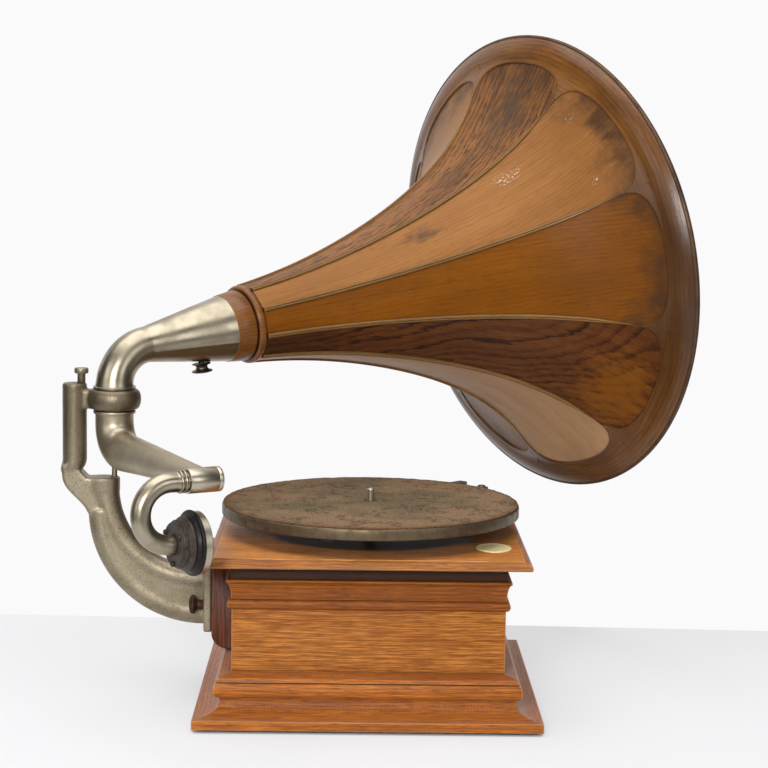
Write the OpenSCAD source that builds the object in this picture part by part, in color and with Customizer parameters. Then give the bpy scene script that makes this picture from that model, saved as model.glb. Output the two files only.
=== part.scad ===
// Table gramophone: a panelled wooden horn on a cast bracket behind a square oak case.
// Millimetres. +Z is up, +X is the front, and the origin is on the ground under the middle of the case.

/* [Case] */
// Side of the square plinth
plinth_w = 338.4; // [320:0.1:360]
// Gap between the ground and the plinth moulding
plinth_lift = 3; // [1:0.5:6]
// Height of the flat slab at the foot of the plinth
slab_h = 9.3; // [7:0.1:14]
// Height of the hollow above the slab
cove_h = 13; // [8:0.5:16]
// Depth of the hollow, from the slab's face to the neck
cove_in = 25; // [18:0.5:28]
// Height of the plain neck above the hollow
neck_h = 4; // [2:0.5:8]
// Height of the round moulding above the neck
torus_h = 14.5; // [10:0.5:20]
// How far the round moulding stands out
torus_out = 5.5; // [3:0.5:8]
// Height of the small quarter round
bead_h = 5; // [3:0.5:8]
// Height of the sloping ledge against the wall
ledge_h = 3.2; // [2:0.2:6]
// Width of the plinth moulding outside the bottom board
board_set = 11; // [8:0.5:16]
// Thickness of the bottom board
board_t = 12; // [9:0.5:12]
// How far the walls stand in from the plinth's edge
wall_set = 36.2; // [33:0.2:39]
// Thickness of the case walls
wall_t = 12; // [8:0.5:13]
// Height of the case walls, from the bottom board to the deck
wall_h = 146; // [140:1:160]
// Height of the waist moulding
waist_h = 10; // [6:0.5:14]
// How far the waist moulding stands out
waist_out = 4.2; // [2:0.2:6]
// Height of the cornice, from the waist moulding to the deck
cornice_h = 34; // [26:1:40]
// How far the cornice stands out
cornice_out = 5.5; // [3:0.5:9]
// Height of the hollow in the cornice
cavetto_h = 17; // [12:0.5:22]
// Height of the cornice's flat lip
lip_h = 2; // [1:0.5:4]

/* [Deck] */
// How far the deck stands out from the walls
deck_over = 24; // [22:0.5:30]
// Thickness of the deck
deck_t = 9; // [7:0.5:13]
// Width of the moulded edge
deck_edge = 7.5; // [5:0.5:12]
// Step between the moulded edge and the top
deck_step = 1; // [0.5:0.1:2]
// Length of the oval badge plate, front to back on its own axis
badge_l = 45; // [30:1:55]
// Width of the oval badge plate
badge_w = 35; // [20:1:40]
// Thickness of the badge plate
badge_t = 0.8; // [0.5:0.1:2]

/* [Bracket] */
// Thickness of the wooden block behind the bracket
block_t = 25.6; // [18:0.2:30]
// Width of the wooden block
block_w = 92; // [88:1:110]
// Thickness of the bracket's plate
plate_t = 8.6; // [6:0.2:12]
// Width of the bracket's plate
plate_w = 84; // [78:1:88]
// Height of the bracket's plate
plate_h = 82; // [76:1:86]
// Height of the plate's foot above the plinth's ledge
plate_foot = 16; // [10:0.5:18]
// Radius of the curved arm's outer edge
arm_sweep = 119; // [112:1:124]
// Radius of the curved arm's inner edge
arm_inner = 80.2; // [76:0.2:84]
// Width of the curved arm
arm_w = 26; // [20:1:30]
// Height of the arm's underside at the plate, above the ground
arm_foot_z = 67.6; // [64:0.2:72]
// Diameter of the upright post
post_d = 24.8; // [20:0.2:30]
// Distance from the ring's axis back to the post
post_back = 40.6; // [39.5:0.2:48]
// Height of the post above the top of the ring
post_over = 5.7; // [3:0.1:10]
// Distance from the plate's face to the axis of the ring
ring_reach = 94.4; // [90:0.2:100]
// Height of the ring's underside above the ground
ring_z = 290; // [284:1:300]
// Height of the ring
ring_h = 21; // [18:0.5:28]
// Outer diameter of the ring
ring_d = 54.6; // [50:0.2:62]
// Bore of the ring
ring_bore = 38.1; // [34:0.1:38.6]
// Diameter of the tonearm's pivot pin
pin_d = 5.6; // [4:0.1:6]
// Diameter of the bracket bolts
bolt_d = 10; // [6:0.5:12]
// Distance between the two bracket bolts
bolt_gap = 54; // [48:1:58]
// Diameter of the bracket bolts' round heads
bolt_head_d = 19.4; // [14:0.2:24]

/* [Horn] */
// Swing of the horn from straight ahead, as it is photographed
horn_swing = 33.9; // [-90:0.1:90]
// Upward tilt of the horn
horn_tilt = 7.93; // [0:0.01:15]
// Height of the horn's axis above the ring, on the ring's axis
elbow_rise = 38.8; // [37:0.2:48]
// Diameter of the elbow's tube
elbow_d = 37; // [34:0.2:38]
// Bend radius of the elbow
elbow_bend = 42; // [38:0.5:44]
// Wall of the metal tubes
tube_wall = 1.6; // [1:0.1:2.4]
// Distance along the axis to the end of the elbow
elbow_len = 127.5; // [120:0.5:145]
// Diameter of the elbow's mouth
elbow_mouth_d = 69.8; // [64:0.2:76]
// How far the wooden collar goes into the elbow
collar_in = 36; // [34:1:44]
// Length of the wooden collar that shows
collar_len = 31.1; // [24:0.1:36]
// Width of the raised ring on the collar
collar_ring = 8.6; // [5:0.2:12]
// Distance along the axis to the mouth
horn_len = 563; // [520:1:600]
// Diameter of the mouth
mouth_d = 536; // [480:1:560]
// Diameter of the horn at the collar
throat_d = 79.6; // [76:0.2:90]
// Thickness of the wooden panels
panel_t = 4; // [3:0.2:6]
// Angle of the first seam about the horn's axis
seam_turn = 4.3; // [0:0.1:39]
// Length of the rim band along the axis
rim_len = 25; // [18:0.5:32]
// Width of the seam ribs
rib_w = 5; // [3:0.2:7]
// Height of the seam ribs
rib_h = 2.2; // [1:0.1:4]
// Diameter of the rolled edge
edge_d = 5.6; // [4:0.2:8]

/* [Tonearm] */
// Swing of the tonearm from straight ahead, as it is photographed
arm_swing = 60; // [50:1:75]
// How far the parked cross tube is outside the deck's edge
park_out = 28.33; // [24:0.01:38]
// Drop of the arm's axis below the ring
arm_drop = 41.1; // [40:0.1:43]
// Diameter of the arm at its elbow
arm_tube_d = 39; // [36:0.2:40]
// Diameter of the arm at the cross tube
arm_tip_d = 19; // [16:0.2:22]
// Bend radius of the arm's elbow
arm_elbow = 28; // [24:0.5:30]
// Diameter of the cross tube
cross_d = 24; // [23:0.2:28]
// Length of the cross tube
cross_len = 28; // [26:1:40]
// Diameter of the gooseneck's tube
goose_d = 19.2; // [18:0.2:20.4]
// Bend radius of the gooseneck
goose_bend = 29.45; // [27:0.05:32]
// Length of the gooseneck's straight upper leg, from the middle of the cross tube
goose_leg = 36.9; // [36:0.1:44]

/* [Soundbox] */
// Diameter of the soundbox's back plate
box_d = 62.5; // [60:0.5:64]
// Diameter of the soundbox's rim
box_rim_d = 59.6; // [57:0.2:60.8]
// Depth of the soundbox's rim
box_rim_h = 7.5; // [6.5:0.1:9]
// Thickness of the back plate
back_t = 8; // [6:0.2:9]
// Thickness of the rubber isolator
isolator_t = 12.4; // [10:0.2:14]
// Diameter of the isolator's outer ring
isolator_d = 46; // [42:0.5:50]
// Turn of the needle from straight down, towards the pivot
needle_turn = 45; // [30:1:60]
// Distance from the soundbox's middle to the needle's tip
needle_reach = 46; // [44:0.5:47]

/* [Turntable] */
// Diameter of the turntable
table_d = 304.8; // [295:0.2:308]
// Distance of the spindle in front of the case's middle
spindle_x = 1.5; // [0:0.1:3]
// Height of the turntable's rim
rim_h = 11.4; // [9:0.2:16]
// Gap between the deck and the turntable's rim
table_gap = 18.5; // [16:0.5:24]
// Thickness of the felt
felt_t = 2; // [1:0.2:4]
// Diameter of the spindle's tip
spindle_d = 7.2; // [6.4:0.1:7.8]
// Height of the spindle above the felt
spindle_tip = 12.4; // [8:0.2:18]

/* [Motor] */
// Gear module of the running train
gear_m = 1.5; // [1.48:0.01:1.52]
// Height of the crank's axis above the ground
crank_z = 85.5; // [84.5:0.1:86]
// Length of the crank's arm
crank_arm = 70; // [50:1:70]
// Length of the crank's grip
grip_l = 58; // [45:1:70]
// Diameter of the crank's shaft
shaft_d = 10; // [8:0.2:11]
// Diameter of the spring barrel
barrel_d = 84; // [80:0.5:84.6]
// Height of the spring barrel
barrel_h = 36; // [30:0.5:36]

/* [Hidden] */
$fn = 64;
arc_steps = 8;
joint_gap = 0.05;
running_gap = 0.05;
seat_gap = 0.3;

// Case heights and half widths
plinth_half = plinth_w / 2;
board_half = plinth_half - board_set;
wall_half = plinth_half - wall_set;
wall_in = wall_half - wall_t;
neck_x = plinth_half - cove_in;
plinth_top = plinth_lift + slab_h + cove_h + neck_h + torus_h + bead_h + ledge_h;
deck_z = board_t + wall_h;
deck_half = wall_half + deck_over;
deck_top = deck_z + deck_t;
cornice_z = deck_z - cornice_h;
waist_z = cornice_z - waist_h;
slab_nick = 1;
bead_out = 2.5;
cornice_top_out = 1.5;
cavetto_nick = 0.6;
deck_nose = 2.5;
deck_under = 1.5;
badge_from_front = 34;
badge_from_side = 71;

// Bracket places
block_x = -(wall_half + block_t);
plate_x = block_x - plate_t;
plate_z = plinth_top + plate_foot;
ring_x = plate_x - ring_reach;
ring_top = ring_z + ring_h;
post_x = ring_x - post_back;
post_top = ring_top + post_over;
post_len = 57;
post_foot = ring_z - post_len;
arm_back = 2.1;
arm_at = [plate_x - arm_back, arm_foot_z + arm_sweep];
arm_inner_shift = [-6.9, 22.2];
arm_inner_at = arm_at + arm_inner_shift;
boss_x = arm_inner_at.x - arm_inner - arm_w / 2;
arm_z = ring_z - arm_drop;
boss_drop = 28.3;
boss_top = arm_z - boss_drop;
pin_drop = 12;
pin_top = arm_z - pin_drop;
pin_depth = 18;
pin_low = boss_top - pin_depth;
socket_wall = 2.7;
socket_d = pin_d + 2 * socket_wall;
socket_h = 10;
socket_rise = 9.8;
socket_z = boss_top + socket_rise;
neck_drop = 4;
neck_z = ring_z - neck_drop;
bolt_rise = 25.6;
bolt_z = plate_z + bolt_rise;
bolt_reach = 15.5;
bolt_head_t = 6;
bolt_end = -(wall_half - wall_t / 2);
weld = 1;
block_round = 18;
web_w = arm_w - 2.4;
boss_d = arm_w + 1;
shoulder_in = 2;
shoulder_w = arm_w - 2 * shoulder_in;
shoulder_run = 9;
lug_w = 18;
screw_shank_d = 8.2;
screw_head_d = 14.5;
screw_head_h = 5.5;
screw_depth = 14.5;
screw_rise = 9.9;
screw_edge = 1.3;
screw_x = post_x + post_d / 2 - screw_shank_d / 2 - screw_edge;

// Horn frame: distances run along its axis from the axis of the ring
horn_z = ring_top + elbow_rise;
bend_turn = 90 - horn_tilt;
bend_run = elbow_bend * tan(bend_turn / 2);
bend_z = horn_z - bend_run;
collar_end = elbow_len + collar_len;
collar_flare = 2.7;
collar_groove = 1;
collar_round = 3;
rim_start = horn_len - rim_len;
neck_share = 0.169;
bell_share = 0.521;
lip_share = 1 - neck_share - bell_share;
lip_power = 8.1;
flare_lead = 8.6;
flare_from = collar_end - flare_lead;
edge_over = 0.8;
rim_end = horn_len - edge_d / 2 + edge_over;
edge_share = 0.6;
edge_at = [horn_r(rim_end) - panel_t * edge_share, rim_end];
panel_steps = 14;
panel_count = 9;
panel_turn = 360 / panel_count;
seam_gap = 0.06;
tube_step = 0.3;
cone_slope = (elbow_mouth_d - elbow_d - tube_step) / 2 / (elbow_len - bend_run + weld);
horn_screw_back = 29.5;
horn_screw_s = elbow_len - horn_screw_back;
horn_screw_r = elbow_mouth_d / 2 - cone_slope * horn_screw_back;
horn_screw_d = 6;
horn_boss_d = 12;
horn_boss_h = 1.8;
thumb_d = 22;
thumb_neck_d = 9.4;
thumb_flange_d = 20;
thumb_h = 9.2;
spigot_h = ring_h / 2 - seat_gap;
flange_h = 2.7;
flange_out = 2.5;
flange_d = ring_bore + 2 * flange_out;

// Soundbox frame: distances run from the middle of the cross tube towards the gooseneck's bend
arm_len = (deck_half + park_out) / sin(arm_swing);
cross_left = 14;
cross_cap = 2.5;
goose_beads = [3.5, 7.5];
goose_bead_d = 3;
goose_spigot = 7.5;
box_face = 5.5;
back_z = box_face + box_rim_h;
isolator_z = back_z + back_t;
leg_end = isolator_z + isolator_t;
spigot_d = goose_d - 1;
isolator_lip = 4;
isolator_foot = 3;
box_hole_r = spigot_d / 2 - 2;
box_screw_r = isolator_d / 2 - 4.8;
box_screw_d = 3.2;
box_screw_head_d = 5.6;
box_screw_head_h = 2.4;
rim_wall = 3;
rim_lip = 2.2;
rim_lip_t = 1.6;
gasket_w = 3.5;
diaphragm_t = 0.4;
gasket_z = box_face + rim_lip_t + joint_gap;
gasket_t = (back_z - gasket_z - diaphragm_t - 3 * joint_gap) / 2;
needle_w = 3.2;
needle_d = 1.6;
needle_point = 4;
pivot_u = 27.5;
pivot_d = 2;
pivot_ear = 3;
pivot_side = 4;
bar_w = 3;
bar_t = 2;
chuck_d = 6;
chuck_u = pivot_u + 2;
chuck_l = 9.5;
grip_screw_u = pivot_u + 8;
grip_screw_d = 2.2;
grip_screw_l = 5.2;
grip_head_d = 6.4;
grip_head_h = 3;

// Turntable and motor places
rim_z = deck_top + table_gap;
table_top = rim_z + rim_h;
felt_top = table_top + felt_t;
table_nick = 1.4;
table_wall = 3.5;
table_t = 3;
hub_d = 28;
hub_rise = 13;
hub_z = deck_top + hub_rise;
spindle_seat_d = spindle_d + 0.4;
spindle_low_d = spindle_seat_d + 0.6;
spindle_foot_d = 6;
spindle_round = 1.6;
deck_hole_d = 13;
bed_gap = 5;
bed_t = 5;
bed_top = deck_z - bed_gap;
bed_z = bed_top - bed_t;
low_drop = 25.5;
low_z = crank_z - low_drop;
low_t = 4;
low_top = low_z + low_t;
motor_low = [-50, -62];
motor_high = [110, 66];
pillar_in = 8;
pillar_at = [for (x = [motor_low.x + pillar_in, motor_high.x - pillar_in],
    y = [motor_low.y + pillar_in, motor_high.y - pillar_in]) [x, y]];
pillar_d = 12;
pillar_bolt_d = 6;
pillar_head_d = 13;
pillar_head_h = 3.5;
pillar_nut_d = 11;
pillar_nut_h = 5;
hanger_w = 14;
hanger_t = 6;
crank_post_w = 18;
crank_post_t = 8;
barrel_teeth = 60;
pinion_teeth = 12;
pinion_h = 7;
pinion_over = 1.5;
sleeve_d = 12;
worm_wheel_h = 8;
wheel_h = 4;
barrel_gear_h = 5;
barrel_wall = 3;
spring_hub = 6;
spring_t = 1.4;
spring_turns = 7;
crown_t = 3;
crown_face = 7;
crown_tooth = 1.8;
wheel_arbor_d = 6;
worm_l = 18;
worm_d = 9.6;
governor_d = 5;
wheel_teeth = 48;
crown_teeth = 36;
crown_m = 2;
spindle_to_wheel = -40;
wheel_to_barrel = 60;
wheel_at = [spindle_x, 0] + gear_m * (wheel_teeth + pinion_teeth) / 2 * dir(spindle_to_wheel);
barrel_at = wheel_at + gear_m * (barrel_teeth + pinion_teeth) / 2 * dir(wheel_to_barrel);
barrel_drop = 3;
barrel_z = bed_z - barrel_h - barrel_drop;
crown_r = crown_m * crown_teeth / 2;
crown_pitch_z = crank_z + crown_m * pinion_teeth / 2;
arbor_d = 12;
wheel_rise = 12;
wheel_z = low_top + wheel_rise;
worm_drop = 43;
worm_z = deck_z - worm_drop;
worm_m = 0.75;
worm_starts = 4;
worm_wheel_teeth = 40;
governor_x = spindle_x - worm_m * (worm_wheel_teeth / 2 + 0.9) - worm_d / 2 - seat_gap;
governor_half = 48;
governor_y = 16;
governor_l = 25;
governor_collar = 5;
governor_collar_d = 13;
governor_disc = 2;
weight_d = 9;
weight_r = 8.8;
crank_overlap = 4;
crank_y = barrel_at.y + crown_r - crank_overlap;
crank_clear = 5;
arm_y = plinth_half + crank_clear;
crank_arm_t = 8;
grip_end = crank_arm_t + grip_l + 0.8;
grip_d = 22;
bush_d = shaft_d + 4;
escutcheon_d = 34;
escutcheon_t = 3;
crank_arm_w = 12;
crank_eye_d = 15;
crank_pinion_h = 7;
grip_pin_d = 8;
grip_cap_d = 13;
grip_cap_h = 3;
grip_play = 0.4;

// Brake places
brake_angle = 45;
brake_out = 19.6;
brake_r = table_d / 2 + brake_out;
brake_at = [spindle_x, 0] + brake_r * dir(brake_angle);
brake_arm = 30;
brake_pad_w = 10;
brake_bar_w = 8;
brake_bar_t = 6;
brake_tail = 16;
brake_eye_d = 14;
brake_eye_h = 8;
brake_pin_d = 8;
brake_foot_d = 22;
brake_foot_h = 3;
brake_drop = 3.4;
brake_top = felt_top - brake_drop;

function dir(a) = [cos(a), sin(a)];
function steps(n) = [for (i = [0:n]) i / n];

// Points of an arc of an ellipse, from angle a to angle b
function arc(centre, rx, ry, a, b, n = arc_steps) =
    [for (t = steps(n)) centre + [rx * cos(a + (b - a) * t), ry * sin(a + (b - a) * t)]];

// Outer radius of the horn at a distance along its axis
function flare(t) = neck_share * t + bell_share * pow(t, 2) + lip_share * pow(t, lip_power);
function horn_t(s) = (s - flare_from) / (horn_len - flare_from);
function horn_r(s) = throat_d / 2 + (mouth_d - throat_d) / 2 * flare(horn_t(s));
function horn_slope(s) = horn_r(s + 0.5) - horn_r(s - 0.5);
function horn_inner(s) = horn_r(s) - panel_t * sqrt(1 + pow(horn_slope(s), 2));
// Stations along a stretch of the horn, closer together towards the mouth
function stations(a, b, n) = [for (t = steps(n)) a + (b - a) * (1 - pow(1 - t, 1.7))];
function backwards(list) = [for (i = [len(list) - 1:-1:0]) list[i]];
function horn_band(a, b, n) = concat(
    [for (s = stations(a, b, n)) [horn_r(s), s]],
    [for (s = backwards(stations(a, b, n))) [horn_inner(s), s]]);

// Thin, straight-sided gear teeth: each corner is a share of the pitch and a height in modules
tooth_corners = [[-0.3, -1.3], [-0.13, 0.9], [0.13, 0.9], [0.3, -1.3]];
function gear_points(teeth, m) = [for (i = [0:teeth - 1], p = tooth_corners)
    m * (teeth / 2 + p.y) * dir((i + p.x) * 360 / teeth)];

// A spiral ribbon, as a closed outline
function spiral(r0, r1, turns, t, n) = concat(
    [for (u = steps(n)) (r0 + (r1 - r0) * u) * dir(360 * turns * u)],
    [for (u = steps(n)) (r1 - t - (r1 - r0) * u) * dir(360 * turns * (1 - u))]);

// Four mitred lengths of one moulding around the case
module mitred_frame(outline, half) {
    reach = half + 5;
    for (a = [0:90:270]) rotate([0, 0, a]) intersection() {
        rotate([90, 0, 0]) linear_extrude(2 * reach, center = true) polygon(outline);
        linear_extrude(deck_top)
            polygon([[joint_gap, 0], [reach, joint_gap - reach], [reach, reach - joint_gap]]);
    }
}

// A round bar that starts along +Z and turns towards +X
module bend(radius, turn, d) {
    translate([radius, 0, 0]) rotate([90, 0, 180])
        rotate_extrude(angle = turn) translate([radius, 0]) circle(d = d);
}

module at_horn() {
    translate([ring_x, 0, horn_z]) rotate([0, 0, horn_swing]) rotate([0, 90 - horn_tilt, 0]) children();
}

// Frame of the thumb screw under the elbow: +Z out of the elbow
module at_horn_screw() {
    at_horn() translate([0, 0, horn_screw_s]) rotate([0, 90, 0]) children();
}

module at_arm() {
    translate([ring_x, 0, 0]) rotate([0, 0, -arm_swing]) children();
}

// Frame of the gooseneck: +Z away from the cross tube, +X down, +Y along the arm
module at_goose() {
    at_arm() translate([arm_len, 0, arm_z]) rotate([0, 90, -90]) children();
}

module at_soundbox() {
    at_goose() translate([2 * goose_bend, 0, 0]) children();
}

// Frame of the stylus: +X towards the needle's tip
module at_stylus() {
    at_soundbox() rotate([0, 0, -needle_turn]) children();
}

module gear(teeth, m, h) {
    linear_extrude(h) polygon(gear_points(teeth, m));
}

// Case

module bottom_board() {
    color("#6d4526") translate([-board_half, -board_half, 0])
        cube([2 * board_half, 2 * board_half, board_t]);
}

module plinth_moulding() {
    z1 = plinth_lift + slab_h;
    z2 = z1 + cove_h;
    z3 = z2 + neck_h;
    z4 = z3 + torus_h;
    z5 = z4 + bead_h;
    outline = concat(
        [[board_half + joint_gap, plinth_lift], [plinth_half, plinth_lift], [plinth_half, z1]],
        arc([plinth_half - slab_nick, z2], cove_in - slab_nick, cove_h, 270, 180),
        [for (t = steps(arc_steps)) let (a = 180 * t - 90)
            [neck_x + torus_out * pow(max(cos(a), 0), 0.5), z3 + torus_h * (1 + sin(a)) / 2]],
        arc([neck_x, z4], bead_out, bead_h, 10, 90),
        [[wall_half, z5 + ledge_h], [wall_half, board_t], [board_half + joint_gap, board_t]]);
    color("#b06a2c") mitred_frame(outline, plinth_half);
}

module side_wall(side) {
    translate([-wall_half, side > 0 ? wall_in : -wall_half, board_t]) cube([2 * wall_half, wall_t, wall_h]);
}

module end_wall(side) {
    translate([side > 0 ? wall_in : -wall_half, -wall_in, board_t]) cube([wall_t, 2 * wall_in, wall_h]);
}

module wall_left() {
    color("#b9702f") side_wall(-1);
}

module wall_right() {
    color("#b9702f") difference() {
        side_wall(1);
        translate([barrel_at.x, wall_half, crank_z]) rotate([90, 0, 0])
            cylinder(d = bush_d + 2 * joint_gap, h = 4 * wall_t, center = true);
    }
}

module wall_front() {
    color("#b9702f") end_wall(1);
}

module wall_back() {
    color("#b9702f") difference() {
        end_wall(-1);
        bolt_holes(bolt_end);
    }
}

// Room for the bracket block in a moulding
module block_room() {
    translate([block_x - 10, -block_w / 2 - joint_gap, 0])
        cube([block_t + 10, block_w + 2 * joint_gap, deck_top]);
}

module waist_moulding() {
    outline = concat(
        [[wall_half, waist_z]],
        arc([wall_half, waist_z + waist_h / 2], waist_out, waist_h / 2, -90, 90));
    color("#a9642a") difference() {
        mitred_frame(outline, wall_half + waist_out);
        block_room();
    }
}

module cornice_moulding() {
    lip_z = cornice_z + cavetto_h;
    outline = concat(
        [[wall_half, cornice_z]],
        arc([wall_half + cornice_out, cornice_z], cornice_out - cavetto_nick, cavetto_h, 180, 90),
        [[wall_half + cornice_out, lip_z + lip_h], [wall_half + cornice_top_out, deck_z],
            [wall_half, deck_z]]);
    color("#a05c25") difference() {
        mitred_frame(outline, wall_half + cornice_out);
        block_room();
    }
}

module deck_board() {
    top_half = deck_half - deck_edge;
    side = concat([[deck_half - deck_under, deck_z], [deck_half, deck_z + deck_under]],
        arc([top_half, deck_z + deck_nose], deck_edge, deck_t - deck_step - deck_nose, 0, 90),
        [[top_half, deck_top]]);
    outline = concat(side, [for (p = backwards(side)) [-p.x, p.y]]);
    color("#bb6f31") difference() {
        intersection_for (a = [0, 90])
            rotate([90, 0, a]) linear_extrude(4 * deck_half, center = true) polygon(outline);
        translate([spindle_x, 0, 0]) cylinder(d = deck_hole_d, h = 2 * deck_top);
        pillar_holes();
        for (p = pillar_at) translate([p.x, p.y, deck_top - pillar_head_h])
            cylinder(d = pillar_head_d + 2 * joint_gap, h = deck_t);
    }
}

module badge_plate() {
    color("#d9cf9a") translate([deck_half - badge_from_front, badge_from_side - deck_half, deck_top])
        linear_extrude(badge_t) polygon(arc([0, 0], badge_w / 2, badge_l / 2, 0, 352.5, 47));
}

// Bracket

module bolt_holes(end) {
    for (y = [-bolt_gap / 2, bolt_gap / 2]) translate([plate_x - 1, y, bolt_z]) rotate([0, 90, 0])
        cylinder(d = bolt_d + 2 * running_gap, h = end - plate_x + 1);
}

module bracket_block() {
    outline = concat([[-wall_half, deck_z], [block_x, deck_z]],
        arc([block_x + block_round, plinth_top + plate_foot], block_round, plate_foot, 180, 270),
        [[-wall_half, plinth_top]]);
    color("#5b2c1d") difference() {
        rotate([90, 0, 0]) linear_extrude(block_w, center = true) polygon(outline);
        bolt_holes(bolt_end);
    }
}

// A rounded edge of the curved arm, turned from straight down towards the back
module arm_edge(centre, radius, from, to) {
    translate([centre.x, 0, centre.y]) rotate([-90, 90, 0]) rotate([0, 0, from])
        rotate_extrude(angle = to - from) translate([radius, 0]) circle(d = arm_w);
}

// The flat web between the two rounded edges
module arm_web() {
    rotate([90, 0, 0]) linear_extrude(web_w, center = true) intersection() {
        difference() {
            translate(arm_at) circle(r = arm_sweep - arm_w / 2);
            translate(arm_inner_at) circle(r = arm_inner + arm_w / 2);
        }
        translate([plate_x + weld - 2 * arm_sweep, 0]) square([2 * arm_sweep, arm_at.y]);
    }
}

module ring_body() {
    half = ring_h / 2;
    wall = (ring_d - ring_bore) / 2;
    translate([ring_x, 0, ring_z + half]) rotate_extrude() translate([ring_bore / 2, 0])
        polygon(concat([[-1, -half]], arc([wall * 0.35, 0], wall * 0.65, half, -90, 90), [[-1, half]]));
}

module horn_bracket() {
    shoulder = [[arm_at.x - arm_sweep + weld, arm_at.y - 4 * weld], [post_x - post_d / 2 + weld, post_foot],
        [post_x, post_foot + 2 * weld], [post_x + post_d / 2 + shoulder_run, boss_top - weld],
        [boss_x, boss_top - weld], [boss_x, arm_at.y - 4 * weld]];
    color("#a69d88") difference() {
        union() {
            translate([plate_x, -plate_w / 2, plate_z]) cube([plate_t, plate_w, plate_h]);
            arm_edge(arm_at, arm_sweep - arm_w / 2, -1, 90);
            arm_edge(arm_inner_at, arm_inner + arm_w / 2, -6, 90);
            arm_web();
            rotate([90, 0, 0]) linear_extrude(shoulder_w, center = true) polygon(shoulder);
            translate([boss_x, 0, arm_inner_at.y - 2 * weld])
                cylinder(d = boss_d, h = boss_top - arm_inner_at.y + 2 * weld);
            translate([post_x, 0, 0]) rotate_extrude() polygon(concat([[0, post_foot - post_d / 2]],
                arc([0, post_foot], post_d / 2, post_d / 2, -75, 0), [[post_d / 2, post_top], [0, post_top]]));
            translate([post_x, -lug_w / 2, ring_z + weld])
                cube([post_back - ring_bore / 2, lug_w, ring_h - 2 * weld]);
            ring_body();
        }
        translate([ring_x, 0, ring_z - weld]) cylinder(d = ring_bore, h = ring_h + 2 * weld);
        translate([ring_x, 0, pin_low]) cylinder(d = pin_d + 2 * joint_gap, h = boss_top);
        translate([screw_x, 0, post_top - screw_depth - seat_gap])
            cylinder(d = screw_shank_d + 2 * running_gap, h = 2 * screw_depth);
        bolt_holes(bolt_end);
    }
}

module bracket_bolts() {
    color("#3b2d24") for (y = [-bolt_gap / 2, bolt_gap / 2])
        translate([plate_x, y, bolt_z]) rotate([0, 90, 0]) {
            translate([0, 0, -bolt_reach]) cylinder(d = bolt_head_d, h = bolt_head_t);
            translate([0, 0, bolt_head_t - bolt_reach])
                cylinder(d1 = (bolt_head_d + bolt_d) / 2, d2 = bolt_d, h = bolt_head_t / 2);
            translate([0, 0, -bolt_reach])
                cylinder(d = bolt_d, h = bolt_reach + bolt_end - plate_x - seat_gap);
        }
}

module tonearm_pivot_pin() {
    color("#8d8778") translate([ring_x, 0, pin_low]) cylinder(d = pin_d, h = pin_top - pin_low);
}

module bracket_thumb_screw() {
    color("#8b8472") translate([screw_x, 0, post_top]) {
        translate([0, 0, -screw_depth]) cylinder(d = screw_shank_d, h = screw_depth + screw_rise);
        translate([0, 0, screw_rise]) cylinder(d = screw_head_d, h = screw_head_h);
    }
}

// Horn

module elbow_cone(d1, d2, from, to) {
    at_horn() translate([0, 0, from]) cylinder(d1 = d1, d2 = d2, h = to - from);
}

module elbow_bend_part(d) {
    translate([ring_x, 0, bend_z]) rotate([0, 0, horn_swing]) bend(elbow_bend, bend_turn, d);
}

module horn_elbow() {
    bore = elbow_d - 2 * tube_wall;
    mouth_bore = elbow_mouth_d - 2 * tube_wall;
    color("#b3aa93") difference() {
        union() {
            translate([ring_x, 0, ring_top - spigot_h])
                cylinder(d = ring_bore - 2 * running_gap, h = spigot_h + flange_h);
            translate([ring_x, 0, ring_top + seat_gap]) cylinder(d = flange_d, h = flange_h);
            elbow_bend_part(elbow_d);
            elbow_cone(elbow_d + tube_step, elbow_mouth_d, bend_run - weld, elbow_len);
            at_horn_screw() cylinder(d = horn_boss_d, h = horn_screw_r + horn_boss_h);
        }
        translate([ring_x, 0, ring_top - spigot_h - weld])
            cylinder(d = bore + tube_step, h = bend_z - ring_top + spigot_h + 2 * weld);
        elbow_bend_part(bore);
        elbow_cone(bore + tube_step, mouth_bore + 2 * cone_slope * weld, bend_run - weld, elbow_len + weld);
        at_horn_screw() cylinder(d = horn_screw_d + 2 * running_gap, h = elbow_mouth_d);
    }
}

// The screw turns in the elbow's boss and its tip stands just off the collar
module horn_thumb_screw() {
    tip = horn_screw_r - tube_wall + cone_slope * horn_screw_d / 2 + seat_gap;
    seat = horn_screw_r + horn_boss_h + seat_gap;
    color("#3d352c") at_horn_screw() rotate_extrude()
        polygon([[0, tip], [horn_screw_d / 2, tip], [horn_screw_d / 2, seat], [thumb_flange_d / 2, seat],
            [thumb_neck_d / 2, seat + thumb_h * 0.2], [thumb_neck_d / 2, seat + thumb_h * 0.55],
            [thumb_d / 2, seat + thumb_h * 0.85], [thumb_d / 2, seat + thumb_h], [0, seat + thumb_h]]);
}

module horn_collar() {
    in_s = elbow_len - collar_in;
    r_end = elbow_mouth_d / 2 - tube_wall - 2 * joint_gap;
    ring_s = collar_end - collar_ring;
    r_in = r_end - cone_slope * collar_in;
    r_mid = elbow_mouth_d / 2 + 0.5;
    r_ring = throat_d / 2 + 2;
    color("#b0702f") at_horn() rotate_extrude() polygon(concat(
        [[r_in - panel_t, in_s], [r_in, in_s], [r_end, elbow_len], [r_mid, elbow_len + joint_gap],
            [r_mid + collar_flare, ring_s - 2 * collar_groove],
            [r_mid + collar_groove, ring_s - collar_groove], [r_mid + collar_groove, ring_s]],
        arc([r_ring - collar_round, ring_s + collar_ring / 2], collar_round, collar_ring / 2, -90, 90),
        [[horn_inner(collar_end), collar_end]]));
}

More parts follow.
